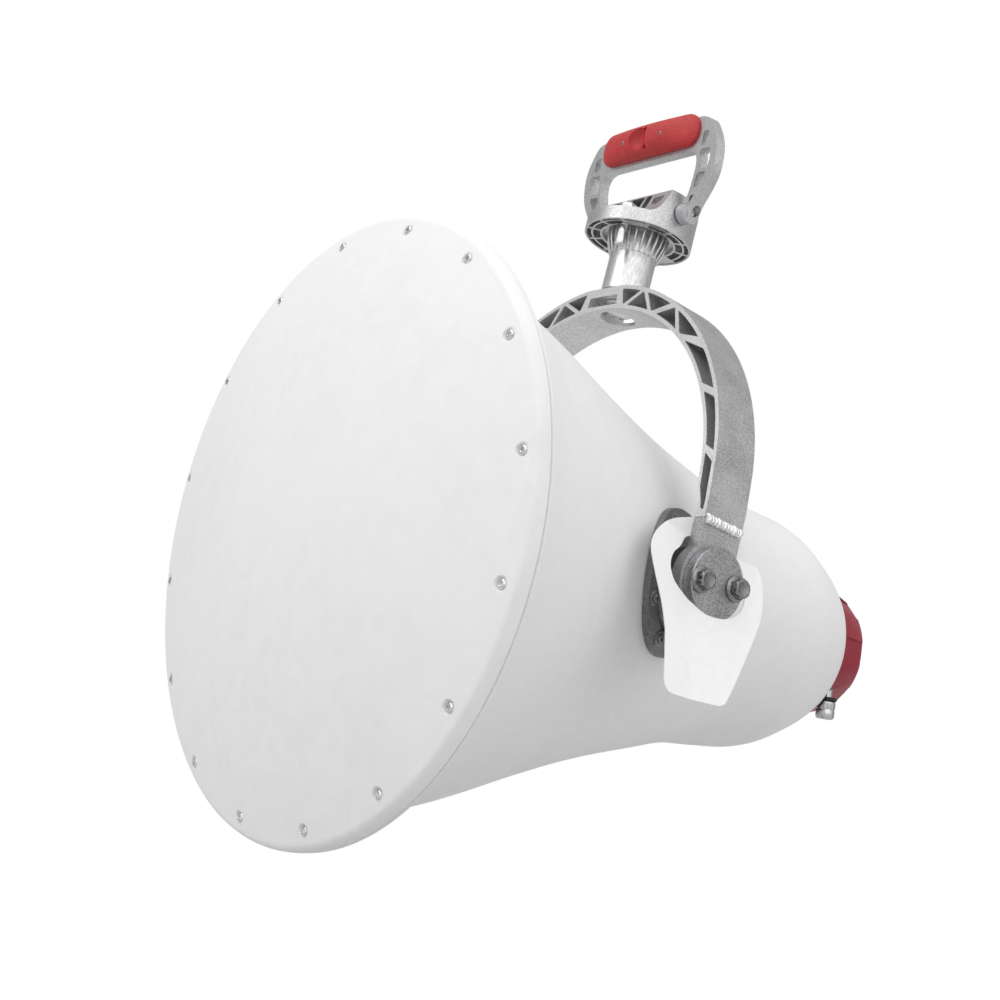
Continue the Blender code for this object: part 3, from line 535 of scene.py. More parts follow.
def bellTree():
    tree, given = newTree("bellWall", "GeometryNodeTree", [
        ("Geometry", "NodeSocketGeometry", None), ("Steps", "NodeSocketInt", 96), ("Rows", "NodeSocketInt", 40),
        ("Length", "NodeSocketFloat", 0.4), ("Widest", "NodeSocketFloat", 0.2), ("Wall", "NodeSocketFloat", 0.003),
        ("Material", "NodeSocketMaterial", None),
    ], [("Geometry", "NodeSocketGeometry")])
    sheet = put(tree, "GeometryNodeMeshGrid", {
        "Size X": 1.0, "Size Y": 1.0, "Vertices X": maths(tree, "ADD", given["Steps"], 1.0), "Vertices Y": given["Rows"],
    })
    spot = put(tree, "ShaderNodeSeparateXYZ", {0: put(tree, "GeometryNodeInputPosition").outputs[0]})
    turn = maths(tree, "MULTIPLY", maths(tree, "ADD", spot.outputs[0], 0.5), 2 * math.pi)
    # The sheet runs back along the outside, then forward along the inside
    travel = maths(tree, "MULTIPLY", spot.outputs[1], 2.0)
    along = maths(tree, "SUBTRACT", 1.0, maths(tree, "ABSOLUTE", travel))
    line = put(tree, "ShaderNodeFloatCurve", {"Value": along})
    points = line.mapping.curves[0].points
    while len(points) < len(bell["line"]):
        points.new(0.5, 0.5)
    for point, (y, r) in zip(points, bell["line"]):
        point.location = ((y - 0.0033) / (bell["length"] - 0.0033), r / bell["widest"])
    line.mapping.update()
    radius = maths(tree, "MULTIPLY", line.outputs[0], given["Widest"])
    inside = maths(tree, "GREATER_THAN", travel, 0.0001)
    radius = maths(tree, "SUBTRACT", radius, maths(tree, "MULTIPLY", inside, given["Wall"]))
    depth = put(tree, "ShaderNodeMapRange", {0: along, 1: 0.0, 2: 1.0, 3: 0.0034, 4: given["Length"]}).outputs[0]
    place = put(tree, "ShaderNodeCombineXYZ", {
        "X": maths(tree, "MULTIPLY", radius, maths(tree, "COSINE", turn)),
        "Y": maths(tree, "MULTIPLY", radius, maths(tree, "SINE", turn)), "Z": depth,
    })
    bent = put(tree, "GeometryNodeSetPosition", {"Geometry": sheet.outputs[0], "Position": place.outputs[0]})
    sewn = put(tree, "GeometryNodeMergeByDistance", {"Geometry": bent.outputs[0], "Distance": 0.00002})
    endTree(tree, sewn.outputs[0], given["Material"])
    return tree


bellWall = useTree(newObject("bell", bpy.data.meshes.new("bell")), bellTree(), {
    "Steps": bell["steps"], "Rows": bell["rows"] * 2 + 1, "Length": bell["length"], "Widest": bell["widest"],
    "Wall": bell["wall"], "Material": looks["bell"],
})
shape = bmesh.new()
shape.from_mesh(bellWall.data)
openEdges = [edge for edge in shape.edges if edge.is_boundary]
bmesh.ops.bridge_loops(shape, edges=openEdges)
bmesh.ops.recalc_face_normals(shape, faces=shape.faces)
bellWall.data = meshOf(shape)
bellWall.data.materials.append(looks["bell"])
finishPiece(bellWall, onHorn @ alongY, [looks["bell"]], "horn", ["horn_shell"])
bellFlange = newObject("bellFlange", turned(bell["flange"], 192, closed=True))
finishPiece(bellFlange, onHorn @ alongY, [looks["bell"]], "horn")

# Cover: a shallow dome with a rolled rim and a flat-bottomed well round each screw
cover = {
    "screws": 16, "screwCircle": 0.2077, "well": 0.0043, "wellFloor": -0.0118,
    "edge": 0.213, "edgeDepth": -0.0115, "rise": 0.0345,
    "rim": [
        (0.2158, -0.01085), (0.2174, -0.0100), (0.2187, -0.0088), (0.2195, -0.0070), (0.21995, -0.0050),
        (0.21995, -0.0012), (0.2192, -0.0002), (0.2140, -0.0001),
    ],
}
domeRadius = (cover["edge"] ** 2 + cover["rise"] ** 2) / (2 * cover["rise"])


def domeDepth(radius):
    return cover["edgeDepth"] - cover["rise"] + domeRadius - math.sqrt(domeRadius ** 2 - radius ** 2)


def coverMesh():
    turns = []
    sector = 2 * math.pi / cover["screws"]
    for i in range(cover["screws"]):
        centre = sector * (i + 0.5)
        turns += [centre - sector / 2 + sector * k / 18 for k in range(8)]
        turns += [centre + math.radians(1.75) * (k - 9) / 9 for k in range(19)]
        turns += [centre + sector * (k - 9) / 18 for k in range(11, 18)]
    radii = [0.2008 * k / 24 for k in range(1, 25)] + [0.2016 + 0.0006 * k for k in range(20)]
    rows = [[(0, 0, domeDepth(0))]]
    for radius in radii:
        row = []
        for turn in turns:
            nearest = (math.floor(turn / sector) + 0.5) * sector
            away = math.hypot(
                radius * math.cos(turn - nearest) - cover["screwCircle"], radius * math.sin(turn - nearest)
            )
            depth = domeDepth(radius)
            share = 1 - smoothStep(cover["well"] - 0.0005, cover["well"] + 0.0004, away)
            depth += share * max(0.0, cover["wellFloor"] - depth)
            row.append((radius * math.cos(turn), radius * math.sin(turn), depth))
        rows.append(row)
    for radius, depth in cover["rim"]:
        rows.append([(radius * math.cos(turn), radius * math.sin(turn), depth) for turn in turns])
    rows.append([(0, 0, -0.0001)])
    return gridMesh(rows)


coverDome = newObject("cover", coverMesh())
finishPiece(coverDome, onHorn @ alongY, [looks["cover"]], "horn", ["aperture_cover"])


def hexAt(acrossFlats, turn):
    return acrossFlats / 2 / math.cos((turn % math.radians(60)) - math.radians(30))


def socketScrew(head, height, socket, steps=24):
    # A domed head with a six-sided socket, standing on z = 0
    profile = [
        (0, -0.0008), (head * 0.9, -0.0008), (head * 0.97, 0), (head, height * 0.25), (head * 0.95, height * 0.6),
        (head * 0.82, height * 0.88), (head * 0.62, height), (socket * 0.62, height), (socket * 0.58, height - 0.0002),
        (socket * 0.5, height * 0.25), (0, height * 0.1),
    ]
    sockets = (socket * 0.58, socket * 0.5)
    return turned(
        profile, steps,
        flute=lambda radius, depth, turn: hexAt(socket, turn) if radius in sockets else radius,
    )


coverScrew = {"head": 0.0033, "height": 0.0017, "socket": 0.0029}
coverScrews = newObject("coverScrews", socketScrew(**coverScrew))
useTree(coverScrews, onRing, {
    "Count": cover["screws"], "Radius": cover["screwCircle"], "First Angle": math.radians(11.25),
    "Material": looks["steel"],
})
coverScrews.data.materials.append(looks["rubberAndSocketShade"])
# The faces inside each steel screw's socket take the black rubber look as painted shade
for face in coverScrews.data.polygons:
    reach = math.hypot(face.center.x, face.center.y)
    turn = math.atan2(face.center.y, face.center.x) - math.radians(11.25)
    off = (turn + math.pi / 16) % (math.pi / 8) - math.pi / 16
    if math.hypot(reach * math.cos(off) - cover["screwCircle"], reach * math.sin(off)) < coverScrew["socket"] * 0.56:
        face.material_index = 1
finishPiece(coverScrews, onHorn @ faceFront @ at(0, 0, -cover["wellFloor"] + 0.0001), None, "horn")
print("bell and cover done")

# Rear: plate with a bright edge, twist cap with eight flats, and the plunger that locks it
port = {"profile": [(0.008, 0.4550), (0.0590, 0.4550), (0.0595, 0.4555), (0.0595, 0.4580), (0.0590, 0.4585), (0.008, 0.4585)]}
portPlate = newObject("portPlate", turned(port["profile"], 96, closed=True))
finishPiece(portPlate, onHorn @ alongY, [looks["steel"]], "horn", ["port_plate"])

cap = {
    "flats": 8, "lean": -14,
    "profile": [
        (0, 0.4960), (0.0470, 0.4960), (0.0480, 0.4958), (0.0505, 0.4946), (0.0512, 0.4934), (0.0536, 0.4850),
        (0.0560, 0.4760), (0.0586, 0.4630), (0.0588, 0.4620), (0.0588, 0.4592), (0.0584, 0.4588), (0.0470, 0.4588),
        (0.0455, 0.4620), (0.0430, 0.4850), (0, 0.4850),
    ],
}
twistCap = newObject("twistCap", turned(cap["profile"], 96))
blocks = bmesh.new()
for i in range(cap["flats"]):
    spin = Matrix.Rotation(2 * math.pi * i / cap["flats"], 4, "Z")
    lean = Matrix.Rotation(math.radians(cap["lean"]), 4, "Y")
    size = Matrix.Diagonal((0.0140, 0.0190, 0.0600, 1))
    bmesh.ops.create_cube(blocks, size=1, matrix=spin @ at(0.060, 0, 0.480) @ lean @ size)
cut(twistCap, meshOf(blocks))
plungerAt = at(0.0400, 0.4700, 0)
cut(twistCap, joined((turned([(0, 0.0405), (0.0088, 0.0405), (0.0088, 0.064), (0, 0.064)], 40),
                      alongY.inverted() @ plungerAt @ Matrix.Rotation(math.pi, 4, "X"))))
softEdges(twistCap, 0.0007, 3, 18)
finishPiece(twistCap, onHorn @ alongY, [looks["cap"]], "horn", ["twist_cap"])

plunger = {"flats": 0.0148, "profile": [
    (0, -0.0290), (0.0040, -0.0290), (0.0040, -0.0437), (0.0068, -0.0437), (0.0078, -0.0446), (0.0078, -0.0500),
    (0.0073, -0.0504), (0.0073, -0.0514), (0.0078, -0.0518), (0.0078, -0.0562), (0.0066, -0.0584), (0, -0.0585),
]}
lockPlunger = newObject("lockPlunger", turned(
    plunger["profile"], 48,
    flute=lambda radius, height, turn: min(radius, hexAt(plunger["flats"], turn)) if radius > 0.005 else radius,
))
finishPiece(lockPlunger, onHorn @ plungerAt, [looks["plunger"]], "horn", ["lock_plunger"])
gasket = newObject("plungerGasket", turned([
    (0.0043, -0.0434), (0.0080, -0.0434), (0.0084, -0.0430), (0.0084, -0.0412), (0.0080, -0.0408), (0.0043, -0.0408),
], 40, closed=True))
finishPiece(gasket, onHorn @ plungerAt, [looks["rubberAndSocketShade"]], "horn", ["plunger_gasket"])
print("rear done")

# Arch: a ribbed casting between two half ellipses, with a truss of pockets open through it
arch = {
    "outer": (0.1648, 0.1713, 0.064), "inner": (0.1517, 0.1540, 0.062), "top": 0.2342, "rail": 0.0030,
    "width": 0.038, "edge": 0.0005,
    "pockets": [
        ((82.8, 75.0), (80.8, 80.8)), ((73.5, 73.5), (79.0, 69.2)), ((71.8, 60.8), (67.5, 67.5)),
        ((58.2, 58.2), (65.0, 54.0)), ((56.5, 43.5), (51.5, 51.5)), ((39.0, 26.0), (48.0, 31.0)),
        ((23.5, 9.0), (28.2, 12.2)),
    ],
}


def onEllipse(size, degrees, inset=0.0):
    halfWidth, rise, centre = size
    turn = math.radians(degrees)
    height = centre + (rise - inset) * math.sin(turn)
    return ((halfWidth - inset) * math.cos(turn), min(height, arch["top"] - max(inset, 0)))


def alongEllipse(size, inset, start, end, step):
    count = max(1, math.ceil(abs(end - start) / step))
    if start == end:
        return [onEllipse(size, start, inset)]
    return [onEllipse(size, start + (end - start) * i / count, inset) for i in range(count + 1)]


def trussPocket(outerSpan, innerSpan):
    line = alongEllipse(arch["outer"], arch["rail"], *outerSpan, 2)
    line += alongEllipse(arch["inner"], -arch["rail"], *reversed(innerSpan), 2)
    return roundCorners([(*point, 0.0022) if i in (0, len(line) - 1) else point for i, point in enumerate(line)])


armOuter = [(0.1660, 0.042), (0.1660, 0.0560)]
armInner = [(0.1570, 0.042), (0.1570, 0.0540)]
archOutline = (
    armOuter + alongEllipse(arch["outer"], 0, 4, 176, 1.5) + mirrored(armOuter)
    + [(-x, z) for x, z in armInner]
    + alongEllipse(arch["inner"], 0, 3, 177, 1.5)[::-1] + armInner[::-1]
)
lowPocket = roundCorners([
    (*onEllipse(arch["outer"], 6.2, arch["rail"]), 0.001), (0.1618, 0.0700), (0.1630, 0.0560), (0.1630, 0.0470, 0.001),
    (0.1598, 0.0485, 0.001), (0.1590, 0.0530), (0.1550, 0.0640), (*onEllipse(arch["inner"], 10.0, -arch["rail"]), 0.001),
])
rightPockets = [trussPocket(*spans) for spans in arch["pockets"]] + [lowPocket]
boltPocket = [(-0.0165, 0.2190), (0.0165, 0.2190), (0.0155, 0.2270), (-0.0155, 0.2270)]
archBody = newObject("arch", flatPiece(
    [archOutline] + rightPockets + [mirrored(pocket) for pocket in rightPockets] + [boltPocket], arch["width"]
))
archBody.data.transform(faceFront)
holes = joined(
    (turned([(0, 0.205), (0.0140, 0.205), (0.0140, 0.2195), (0.0140, 0.2215), (0, 0.2215)], 64), Matrix()),
    (turned([(0, 0.2240), (0.0083, 0.2240), (0.0083, 0.2400), (0, 0.2400)], 40), Matrix()),
)
cut(archBody, holes)
softEdges(archBody, arch["edge"], 2, 40)
settle(archBody)
archBody.data.materials.clear()
for look in (looks["cast"], looks["paintedHighlightEdge"], looks["smoothPaintedFill"]):
    archBody.data.materials.append(look)
for face in archBody.data.polygons:
    # The faces toward front and back take a lighter copy of the casting as a painted highlight, the outside is grainy,
    # and the underside and the pockets take a smoother, lighter copy as painted fill against their shade
    x, y, z = face.center
    outside = math.hypot(x / arch["outer"][0], (z - arch["outer"][2]) / arch["outer"][1]) > 0.992 or z > arch["top"] - 0.0006
    rim = abs(face.normal.y) > 0.3
    face.material_index = 1 if rim else 0 if outside or z < 0.0600 else 2
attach(finishPiece(archBody, onYoke, None, "yoke", ["yoke_arch"]), "yoke")

# Lugs: a round end under each arm, with the bore that the horn turns in
lug = {"radius": 0.028, "bore": 0.0213, "low": 0.157, "high": 0.166, "top": 0.0417, "halfNeck": 0.019}
neckTurn = math.asin(lug["halfNeck"] / lug["radius"])
lugOutline = []
for i in range(73):
    turn = neckTurn + (2 * math.pi - 2 * neckTurn) * i / 72
    lugOutline.append((lug["radius"] * math.sin(turn), lug["radius"] * math.cos(turn)))
lugOutline += [(-lug["halfNeck"], lug["top"]), (lug["halfNeck"], lug["top"])]
for side, name in ((1, "Right"), (-1, "Left")):
    cheek = newObject("lug" + name, flatPiece([lugOutline, circle(lug["bore"], 72)], lug["high"] - lug["low"]))
    softEdges(cheek, 0.0007, 3, 40)
    place = onYoke @ at(side * (lug["low"] + lug["high"]) / 2, 0, 0) @ faceSide
    finishPiece(cheek, place, [looks["cast"]], "yoke", ["yoke_lug_" + name.lower()])

# Weld: curved ripples laid one over the next, each a little different
weld = {"ripples": 11, "length": 0.0345, "reach": 0.0033, "height": 0.0080, "unevenness": 0.10}


def rippleMesh():
    rows = []
    for i in range(9):
        lift = math.pi * i / 8
        level = -math.cos(lift)
        if i in (0, 8):
            rows.append([(0.0002, 0.0009, level * weld["height"] / 2)])
            continue
        row = []
        for k in range(12):
            turn = 2 * math.pi * k / 12
            out = max(0.0, math.cos(turn)) * weld["reach"] * math.sin(lift)
            # Each ripple bows forward at the middle of its height
            bow = 0.0016 * (1 - level ** 2)
            row.append((out, math.sin(turn) * 0.0024 * math.sin(lift) + bow, level * weld["height"] / 2))
        rows.append(row)
    return gridMesh(rows, smoothAngle=60)


for side, name in ((1, "Right"), (-1, "Left")):
    beads = newObject("weld" + name, rippleMesh())
    step = weld["length"] / weld["ripples"]
    useTree(beads, inRow, {
        "Count": weld["ripples"], "Start": (0, -weld["length"] / 2 + step * 0.3, 0), "Step": (0, step, 0),
        "Unevenness": weld["unevenness"], "Seed": 5 + side, "Material": looks["weld"],
    })
    place = onYoke @ at(side * 0.16605, 0, 0.0415) @ Matrix.Diagonal((side, 1, 1, 1))
    beads.data.transform(place)
    if side < 0:
        beads.data.flip_normals()
    finishPiece(beads, Matrix(), None, "yoke", ["weld_bead_" + name.lower()])
print("yoke arms done")

# Stem and its fluted collar
stem = {"radius": 0.0183, "bore": 0.0105, "low": 0.2345, "high": 0.2867}
stemTube = newObject("stem", turned([
    (stem["bore"], stem["low"]), (stem["radius"] + 0.0012, stem["low"]), (stem["radius"] + 0.0005, stem["low"] + 0.0008),
    (stem["radius"], stem["low"] + 0.0022), (stem["radius"], stem["high"]), (stem["bore"], stem["high"]),
], 96, closed=True))
finishPiece(stemTube, onYoke, [looks["stem"]], "yoke", ["stem_tube"])

collar = {"fins": 24, "low": 0.2675, "high": 0.2866, "root": 0.0182, "lowTip": 0.0197, "highTip": 0.0246, "thick": 0.0019}


def finMesh():
    rows = []
    for share in (0.0, 0.12, 0.5, 1.0):
        z = between(collar["low"], collar["high"], share)
        tip = between(collar["lowTip"], collar["highTip"], min(1.0, share * 1.4))
        half = collar["thick"] / 2
        inner = 0.0008
        rows.append([
            (-inner, -half, z), (tip - collar["root"] - 0.0006, -half, z), (tip - collar["root"], -half * 0.55, z),
            (tip - collar["root"], half * 0.55, z), (tip - collar["root"] - 0.0006, half, z), (-inner, half, z),
        ])
    bottom = [(-0.0002, 0, collar["low"] - 0.0001)]
    return gridMesh([bottom] + rows + [[(0.0005, 0, collar["high"])]], smoothAngle=30)


fins = newObject("collarFins", finMesh())
useTree(fins, onRing, {"Count": collar["fins"], "Radius": collar["root"], "Material": looks["stem"]})
finishPiece(fins, onYoke, None, "yoke")
sleeve = newObject("collarSleeve", turned([
    (0.0184, collar["low"]), (0.0187, collar["low"] + 0.0003), (0.0188, collar["low"] + 0.004),
    (0.0190, collar["high"]), (0.0184, collar["high"]),
], 96, closed=True))
finishPiece(sleeve, onYoke, [looks["stem"]], "yoke", ["spline_collar"])


def boltHead(acrossFlats, low, high, shank, shankLow, shankHigh):
    # A six-sided head with a turned-off crown, and its shank
    crown = acrossFlats * 0.47
    head = turned([
        (0, low), (crown * 0.96, low), (acrossFlats * 0.575, low + acrossFlats * 0.05), (acrossFlats * 0.58, high), (0, high),
    ], 72, flute=lambda radius, height, turn: min(radius, hexAt(acrossFlats, turn)))
    body = turned([(0, shankLow), (shank, shankLow), (shank, shankHigh), (0, shankHigh)], 40)
    return joined((head, Matrix()), (body, Matrix()))


stemBolt = newObject("stemBolt", boltHead(0.019, 0.2191, 0.2246, 0.008, 0.2240, 0.262))
finishPiece(stemBolt, onYoke, [looks["steel"]], "yoke", ["stem_bolt"])
washer = newObject("stemWasher", turned([
    (0.0083, 0.2249), (0.0131, 0.2249), (0.0135, 0.2253), (0.0135, 0.2263), (0.0131, 0.2267), (0.0083, 0.2267),
], 64, closed=True))
finishPiece(washer, onYoke, [looks["steel"]], "yoke", ["stem_bolt_washer"])

# Head: a round casting with a ribbed underside, a low front wall and a raised box behind
head = {
    "radius": 0.0426, "seat": 0.038, "under": 0.282, "floor": 0.287, "top": 0.3153, "edge": 0.0006,
    "front": [
        (-0.060, 0.2925), (-0.0240, 0.2928), (-0.0205, 0.2950), (-0.0178, 0.2985), (-0.0155, 0.3030),
        (-0.0135, 0.3085), (-0.0110, 0.3154), (-0.0110, 0.3300), (-0.060, 0.3300),
    ],
    "back": [(0.0240, 0.3153), (0.0600, 0.2937), (0.0600, 0.3300), (0.0240, 0.3300)],
    "pockets": [
        [(-0.0045, 0.3138), (0.0108, 0.3138), (0.0108, 0.3010), (0.0070, 0.2990)],
        [(0.0130, 0.3138), (0.0192, 0.3138), (0.0196, 0.3000), (0.0140, 0.3000)],
        [(-0.0260, 0.3138), (-0.0070, 0.3138), (0.0045, 0.2990), (-0.0240, 0.2990)],
    ],
    "panel": [(0.0225, 0.3110), (0.0350, 0.3110), (0.0335, 0.3030), (0.0240, 0.3030)],
}
headBody = newObject("head", turned([
    (0, 0.2870), (0.0284, 0.2870), (0.0286, 0.2834), (0.0364, 0.2828), (0.0408, 0.2828), (0.0410, 0.2820),
    (0.0422, 0.2820), (0.0426, 0.2824), (0.0426, 0.3145), (0.0418, 0.3153), (0, 0.3153),
], 128))
for outline in (head["front"], head["back"]):
    cut(headBody, joined((flatPiece([outline], 0.12), faceSide)))
sunk = [(flatPiece([roundCorners([(*p, 0.0008) for p in pocket])], 0.030), at(0, -0.011, 0) @ faceFront)
        for pocket in head["pockets"]]
for side in (1, -1):
    panel = [(side * x, z, 0.0014) for x, z in head["panel"]]
    sunk.append((flatPiece([roundCorners(panel)], 0.0140), at(0, -0.0160, 0) @ faceFront))
for mesh, place in sunk:
    cut(headBody, joined((mesh, place)))
bores = []
for side in (1, -1):
    hole = turned([(0, 0.030), (0.0040, 0.030), (0.0040, 0.050), (0, 0.050)], 32)
    bores.append((hole, Matrix.Translation(hinge - pivot) @ alongX(side)))
bores.append((turned([(0, 0.275), (0.0043, 0.275), (0.0043, 0.2925), (0.0082, 0.2925), (0.0082, 0.32), (0, 0.32)], 40),
              at(0.0125, -0.0272, 0)))


def cell(inner, outer, start, end):
    # A slot between two circles
    turns = [math.radians(between(start, end, k / 8)) for k in range(9)]
    line = [(outer * math.cos(turn), outer * math.sin(turn)) for turn in turns]
    line += [(inner * math.cos(turn), inner * math.sin(turn)) for turn in reversed(turns)]
    return roundCorners([(*point, 0.0006) if k in (0, 8, 9, 17) else point for k, point in enumerate(line)])


# Curved slots in two rings between the webs of the underside, with one round opening behind
cells = []
for i in range(12):
    start = 30 * i - 62
    if i not in (5, 6):
        cells.append(cell(0.0376, 0.0407, start + 2, start + 28))
        if i != 0:
            cells.append(cell(0.0304, 0.0360, start + 2, start + 28))
bores.append((joined(*[(flatPiece([outline], 0.0100), at(0, 0, 0.2852)) for outline in cells]), Matrix()))
turn = math.radians(118)
bores.append((flatPiece([circle(0.0054, 40, (0.0347 * math.cos(turn), 0.0347 * math.sin(turn)))], 0.012), at(0, 0, 0.2860)))
for mesh, place in bores:
    cut(headBody, joined((mesh, place)))
softEdges(headBody, head["edge"], 2, 40)
finishPiece(headBody, onYoke, [looks["head"]], "yoke", ["head_casting"])

lockBolt = newObject("lockBolt", turned([
    (0, 0.2655), (0.0032, 0.2655), (0.0040, 0.2664), (0.0040, 0.2998), (0.0033, 0.3005), (0, 0.3005),
], 40))
finishPiece(lockBolt, onYoke @ at(0.0125, -0.0272, 0), [looks["steel"]], "yoke", ["lock_bolt"])
nut = turned([
    (0.0043, 0.2929), (0.0066, 0.2929), (0.0075, 0.2934), (0.0075, 0.2984), (0.0066, 0.2990), (0.0043, 0.2990),
], 72, closed=True, flute=lambda radius, height, turn: min(radius, hexAt(0.013, turn)) if radius > 0.006 else radius)
lockNut = newObject("lockNut", nut)
place = onYoke @ at(0.0125, -0.0272, 0) @ Matrix.Rotation(math.radians(40), 4, "Z")
finishPiece(lockNut, place, [looks["steel"]], "yoke", ["lock_bolt_nut"])
for side, name in ((1, "Right"), (-1, "Left")):
    pin = newObject("handlePin" + name, turned([
        (0, 0.0305), (0.0037, 0.0305), (0.0037, 0.0520), (0.0032, 0.0525), (0, 0.0526),
    ], 48))
    place = Matrix.Translation(hinge) @ alongX(side)
    finishPiece(pin, place, [looks["steel"]], "yoke", ["handle_pin_" + name.lower()])
print("head done")

# Handle: a flat forked frame with windows, swinging on the two pins
handle = {
    "thick": 0.009, "edge": 0.0006, "hub": 0.0085, "hubLow": 0.0434, "hubHigh": 0.0524,
    "outer": [
        (0.0550, 0.0765), (0.0635, 0.0735), (0.0700, 0.0640), (0.0745, 0.0530), (0.0755, 0.0410), (0.0735, 0.0280),
        (0.0680, 0.0170), (0.0605, 0.0060), (0.0570, -0.0010), (0.0535, -0.0074), (0.0500, -0.0080),
    ],
    "inner": [
        (0.0440, -0.0040), (0.0440, 0.0050), (0.0500, 0.0130), (0.0528, 0.0240), (0.0548, 0.0350), (0.0542, 0.0430),
        (0.0505, 0.0480), (0.0450, 0.0500),
    ],
    "windows": [
        [(0.0590, 0.0640), (0.0645, 0.0630), (0.0665, 0.0530), (0.0575, 0.0520)],
        [(0.0575, 0.0490), (0.0688, 0.0490), (0.0692, 0.0400), (0.0675, 0.0330), (0.0580, 0.0330)],
        [(0.0570, 0.0300), (0.0668, 0.0300), (0.0622, 0.0205), (0.0550, 0.0175)],
        [(0.0525, 0.0120), (0.0575, 0.0125), (0.0525, 0.0060)],
    ],
}
rail = smoothLine(handle["outer"], 5) + smoothLine(handle["inner"], 4)
windows = [roundCorners([(*p, 0.0016) for p in window]) for window in handle["windows"]]
scoop = [(-0.008, 0.054), (0.008, 0.054), (0.008, 0.075), (-0.008, 0.075)]
handleFrame = newObject("handleFrame", flatPiece(
    [rail + mirrored(rail)] + windows + [mirrored(window) for window in windows] + [scoop], handle["thick"]
))
handleFrame.data.transform(faceFront)
for side in (1, -1):
    hub = turned([
        (0, handle["hubLow"]), (handle["hub"], handle["hubLow"]), (handle["hub"], handle["hubHigh"]), (0, handle["hubHigh"]),
    ], 48)
    cut(handleFrame, joined((hub, alongX(side))), "UNION")
    eye = turned([
        (0, 0.040), (0.0040, 0.040), (0.0040, 0.070), (0, 0.070),
    ], 40)
    cut(handleFrame, joined((eye, alongX(side))))
softEdges(handleFrame, handle["edge"], 2, 35)
finishPiece(handleFrame, onHandle, [looks["head"]], "handle", ["handle_frame"])

# Grips: a crowned red lozenge on each face, thick in the middle, with a thumb scoop and two small screws
grip = {
    "halfWidth": 0.0545, "low": 0.0530, "high": 0.0798, "thick": 0.0130, "edge": 0.0016, "ends": 0.74,
    "corner": 0.0118, "seat": 0.0048, "screw": 0.0017, "screwAt": 0.0215,
}


def gripDepth(share, x):
    along = 1 - grip["ends"] * (abs(x) / grip["halfWidth"]) ** 2.1
    return grip["edge"] + (grip["thick"] - grip["edge"]) * along * (1 - share ** 2.6) ** 0.5


def gripMesh():
    # Rings of one rounded outline, drawn in as the crown rises
    middle = (grip["low"] + grip["high"]) / 2
    halfHigh = (grip["high"] - grip["low"]) / 2
    shares = [1.0, 0.995, 0.98, 0.955, 0.92, 0.88, 0.83, 0.77, 0.70, 0.62, 0.53, 0.43, 0.32, 0.20, 0.08]
    rows = []
    for share in [1.0] + shares:
        inset = (1 - share) * halfHigh
        halfX, halfZ = grip["halfWidth"] - inset, halfHigh - inset
        corner = min(grip["corner"], halfZ * 0.94)
        row = []
        for quarter in range(4):
            signX = 1 if quarter in (0, 3) else -1
            signZ = 1 if quarter in (0, 1) else -1
            for k in range(17):
                turn = math.radians(90 * quarter + 90 * k / 16)
                x = signX * (halfX - corner) + corner * math.cos(turn)
                z = signZ * (halfZ - corner) + corner * math.sin(turn)
                row.append((x, z))
            if quarter in (0, 2):
                # Points along the long sides, so that the crown can bend
                end = -signX * (halfX - corner)
                row += [(between(x, end, k / 20), z) for k in range(1, 20)]
        depths = [0 if not rows else gripDepth(share, x) for x, z in row]
        rows.append([(x, -depth, middle + z) for (x, z), depth in zip(row, depths)])
    rows.insert(0, [(0, 0, middle)])
    shape = bmesh.new()
    rings = [[shape.verts.new(point) for point in row] for row in rows]
    for low, high in zip(rings, rings[1:]):
        count = max(len(low), len(high))
        for i in range(count):
            j = (i + 1) % count
            corners = [low[i % len(low)], low[j % len(low)], high[j % len(high)], high[i % len(high)]]
            shape.faces.new(list(dict.fromkeys(corners)))
    # The crest is closed by pairs of points that face each other across it
    shape.faces.new(rings[-1])
    bmesh.ops.triangulate(shape, faces=[face for face in shape.faces if len(face.verts) > 4])
    bmesh.ops.recalc_face_normals(shape, faces=shape.faces)
    return meshOf(shape, smoothAngle=40)


def eggMesh(sizes):
    rows = [[(0, 0, -sizes[2])]]
    for i in range(1, 16):
        lift = -math.pi / 2 + math.pi * i / 16
        rows.append([(sizes[0] * math.cos(lift) * math.cos(math.pi * k / 16),
                      sizes[1] * math.cos(lift) * math.sin(math.pi * k / 16), sizes[2] * math.sin(lift))
                     for k in range(32)])
    rows.append([(0, 0, sizes[2])])
    return gridMesh(rows)


halfMoon = [(0.0058, 0.0560), (0.0058, 0.0745), (0.0030, 0.0735), (0.0005, 0.0700), (-0.0008, 0.0655), (0.0002, 0.0605),
            (0.0028, 0.0570)]
for side, name in ((1, "Front"), (-1, "Back")):
    half = newObject("grip" + name, gripMesh())
    cut(half, joined((eggMesh((0.0098, 0.0085, 0.0105)), at(-0.0038, -0.0148, 0.0655))))
    cut(half, joined((flatPiece([halfMoon], 0.060), faceFront)))
    softEdges(half, 0.0004, 2, 50)
    place = onHandle @ Matrix.Diagonal((1, side, 1, 1)) @ at(0, -grip["seat"], 0)
    settle(half)
    half.data.transform(place)
    if side < 0:
        half.data.flip_normals()
    finishPiece(half, Matrix(), [looks["grip"]], "handle", ["grip_" + name.lower()])
    pair = []
    for x in (-grip["screwAt"], grip["screwAt"]):
        depth = grip["seat"] + gripDepth(0.0, x) - 0.0003
        pair.append((socketScrew(grip["screw"], 0.0007, 0.0016), at(x, -depth, 0.0655) @ faceFront))
    screws = newObject("gripScrews" + name, joined(*pair))
    screws.data.transform(onHandle @ Matrix.Diagonal((1, side, 1, 1)))
    if side < 0:
        screws.data.flip_normals()
    finishPiece(screws, Matrix(), [looks["bolt"]], "handle")
print("handle done")

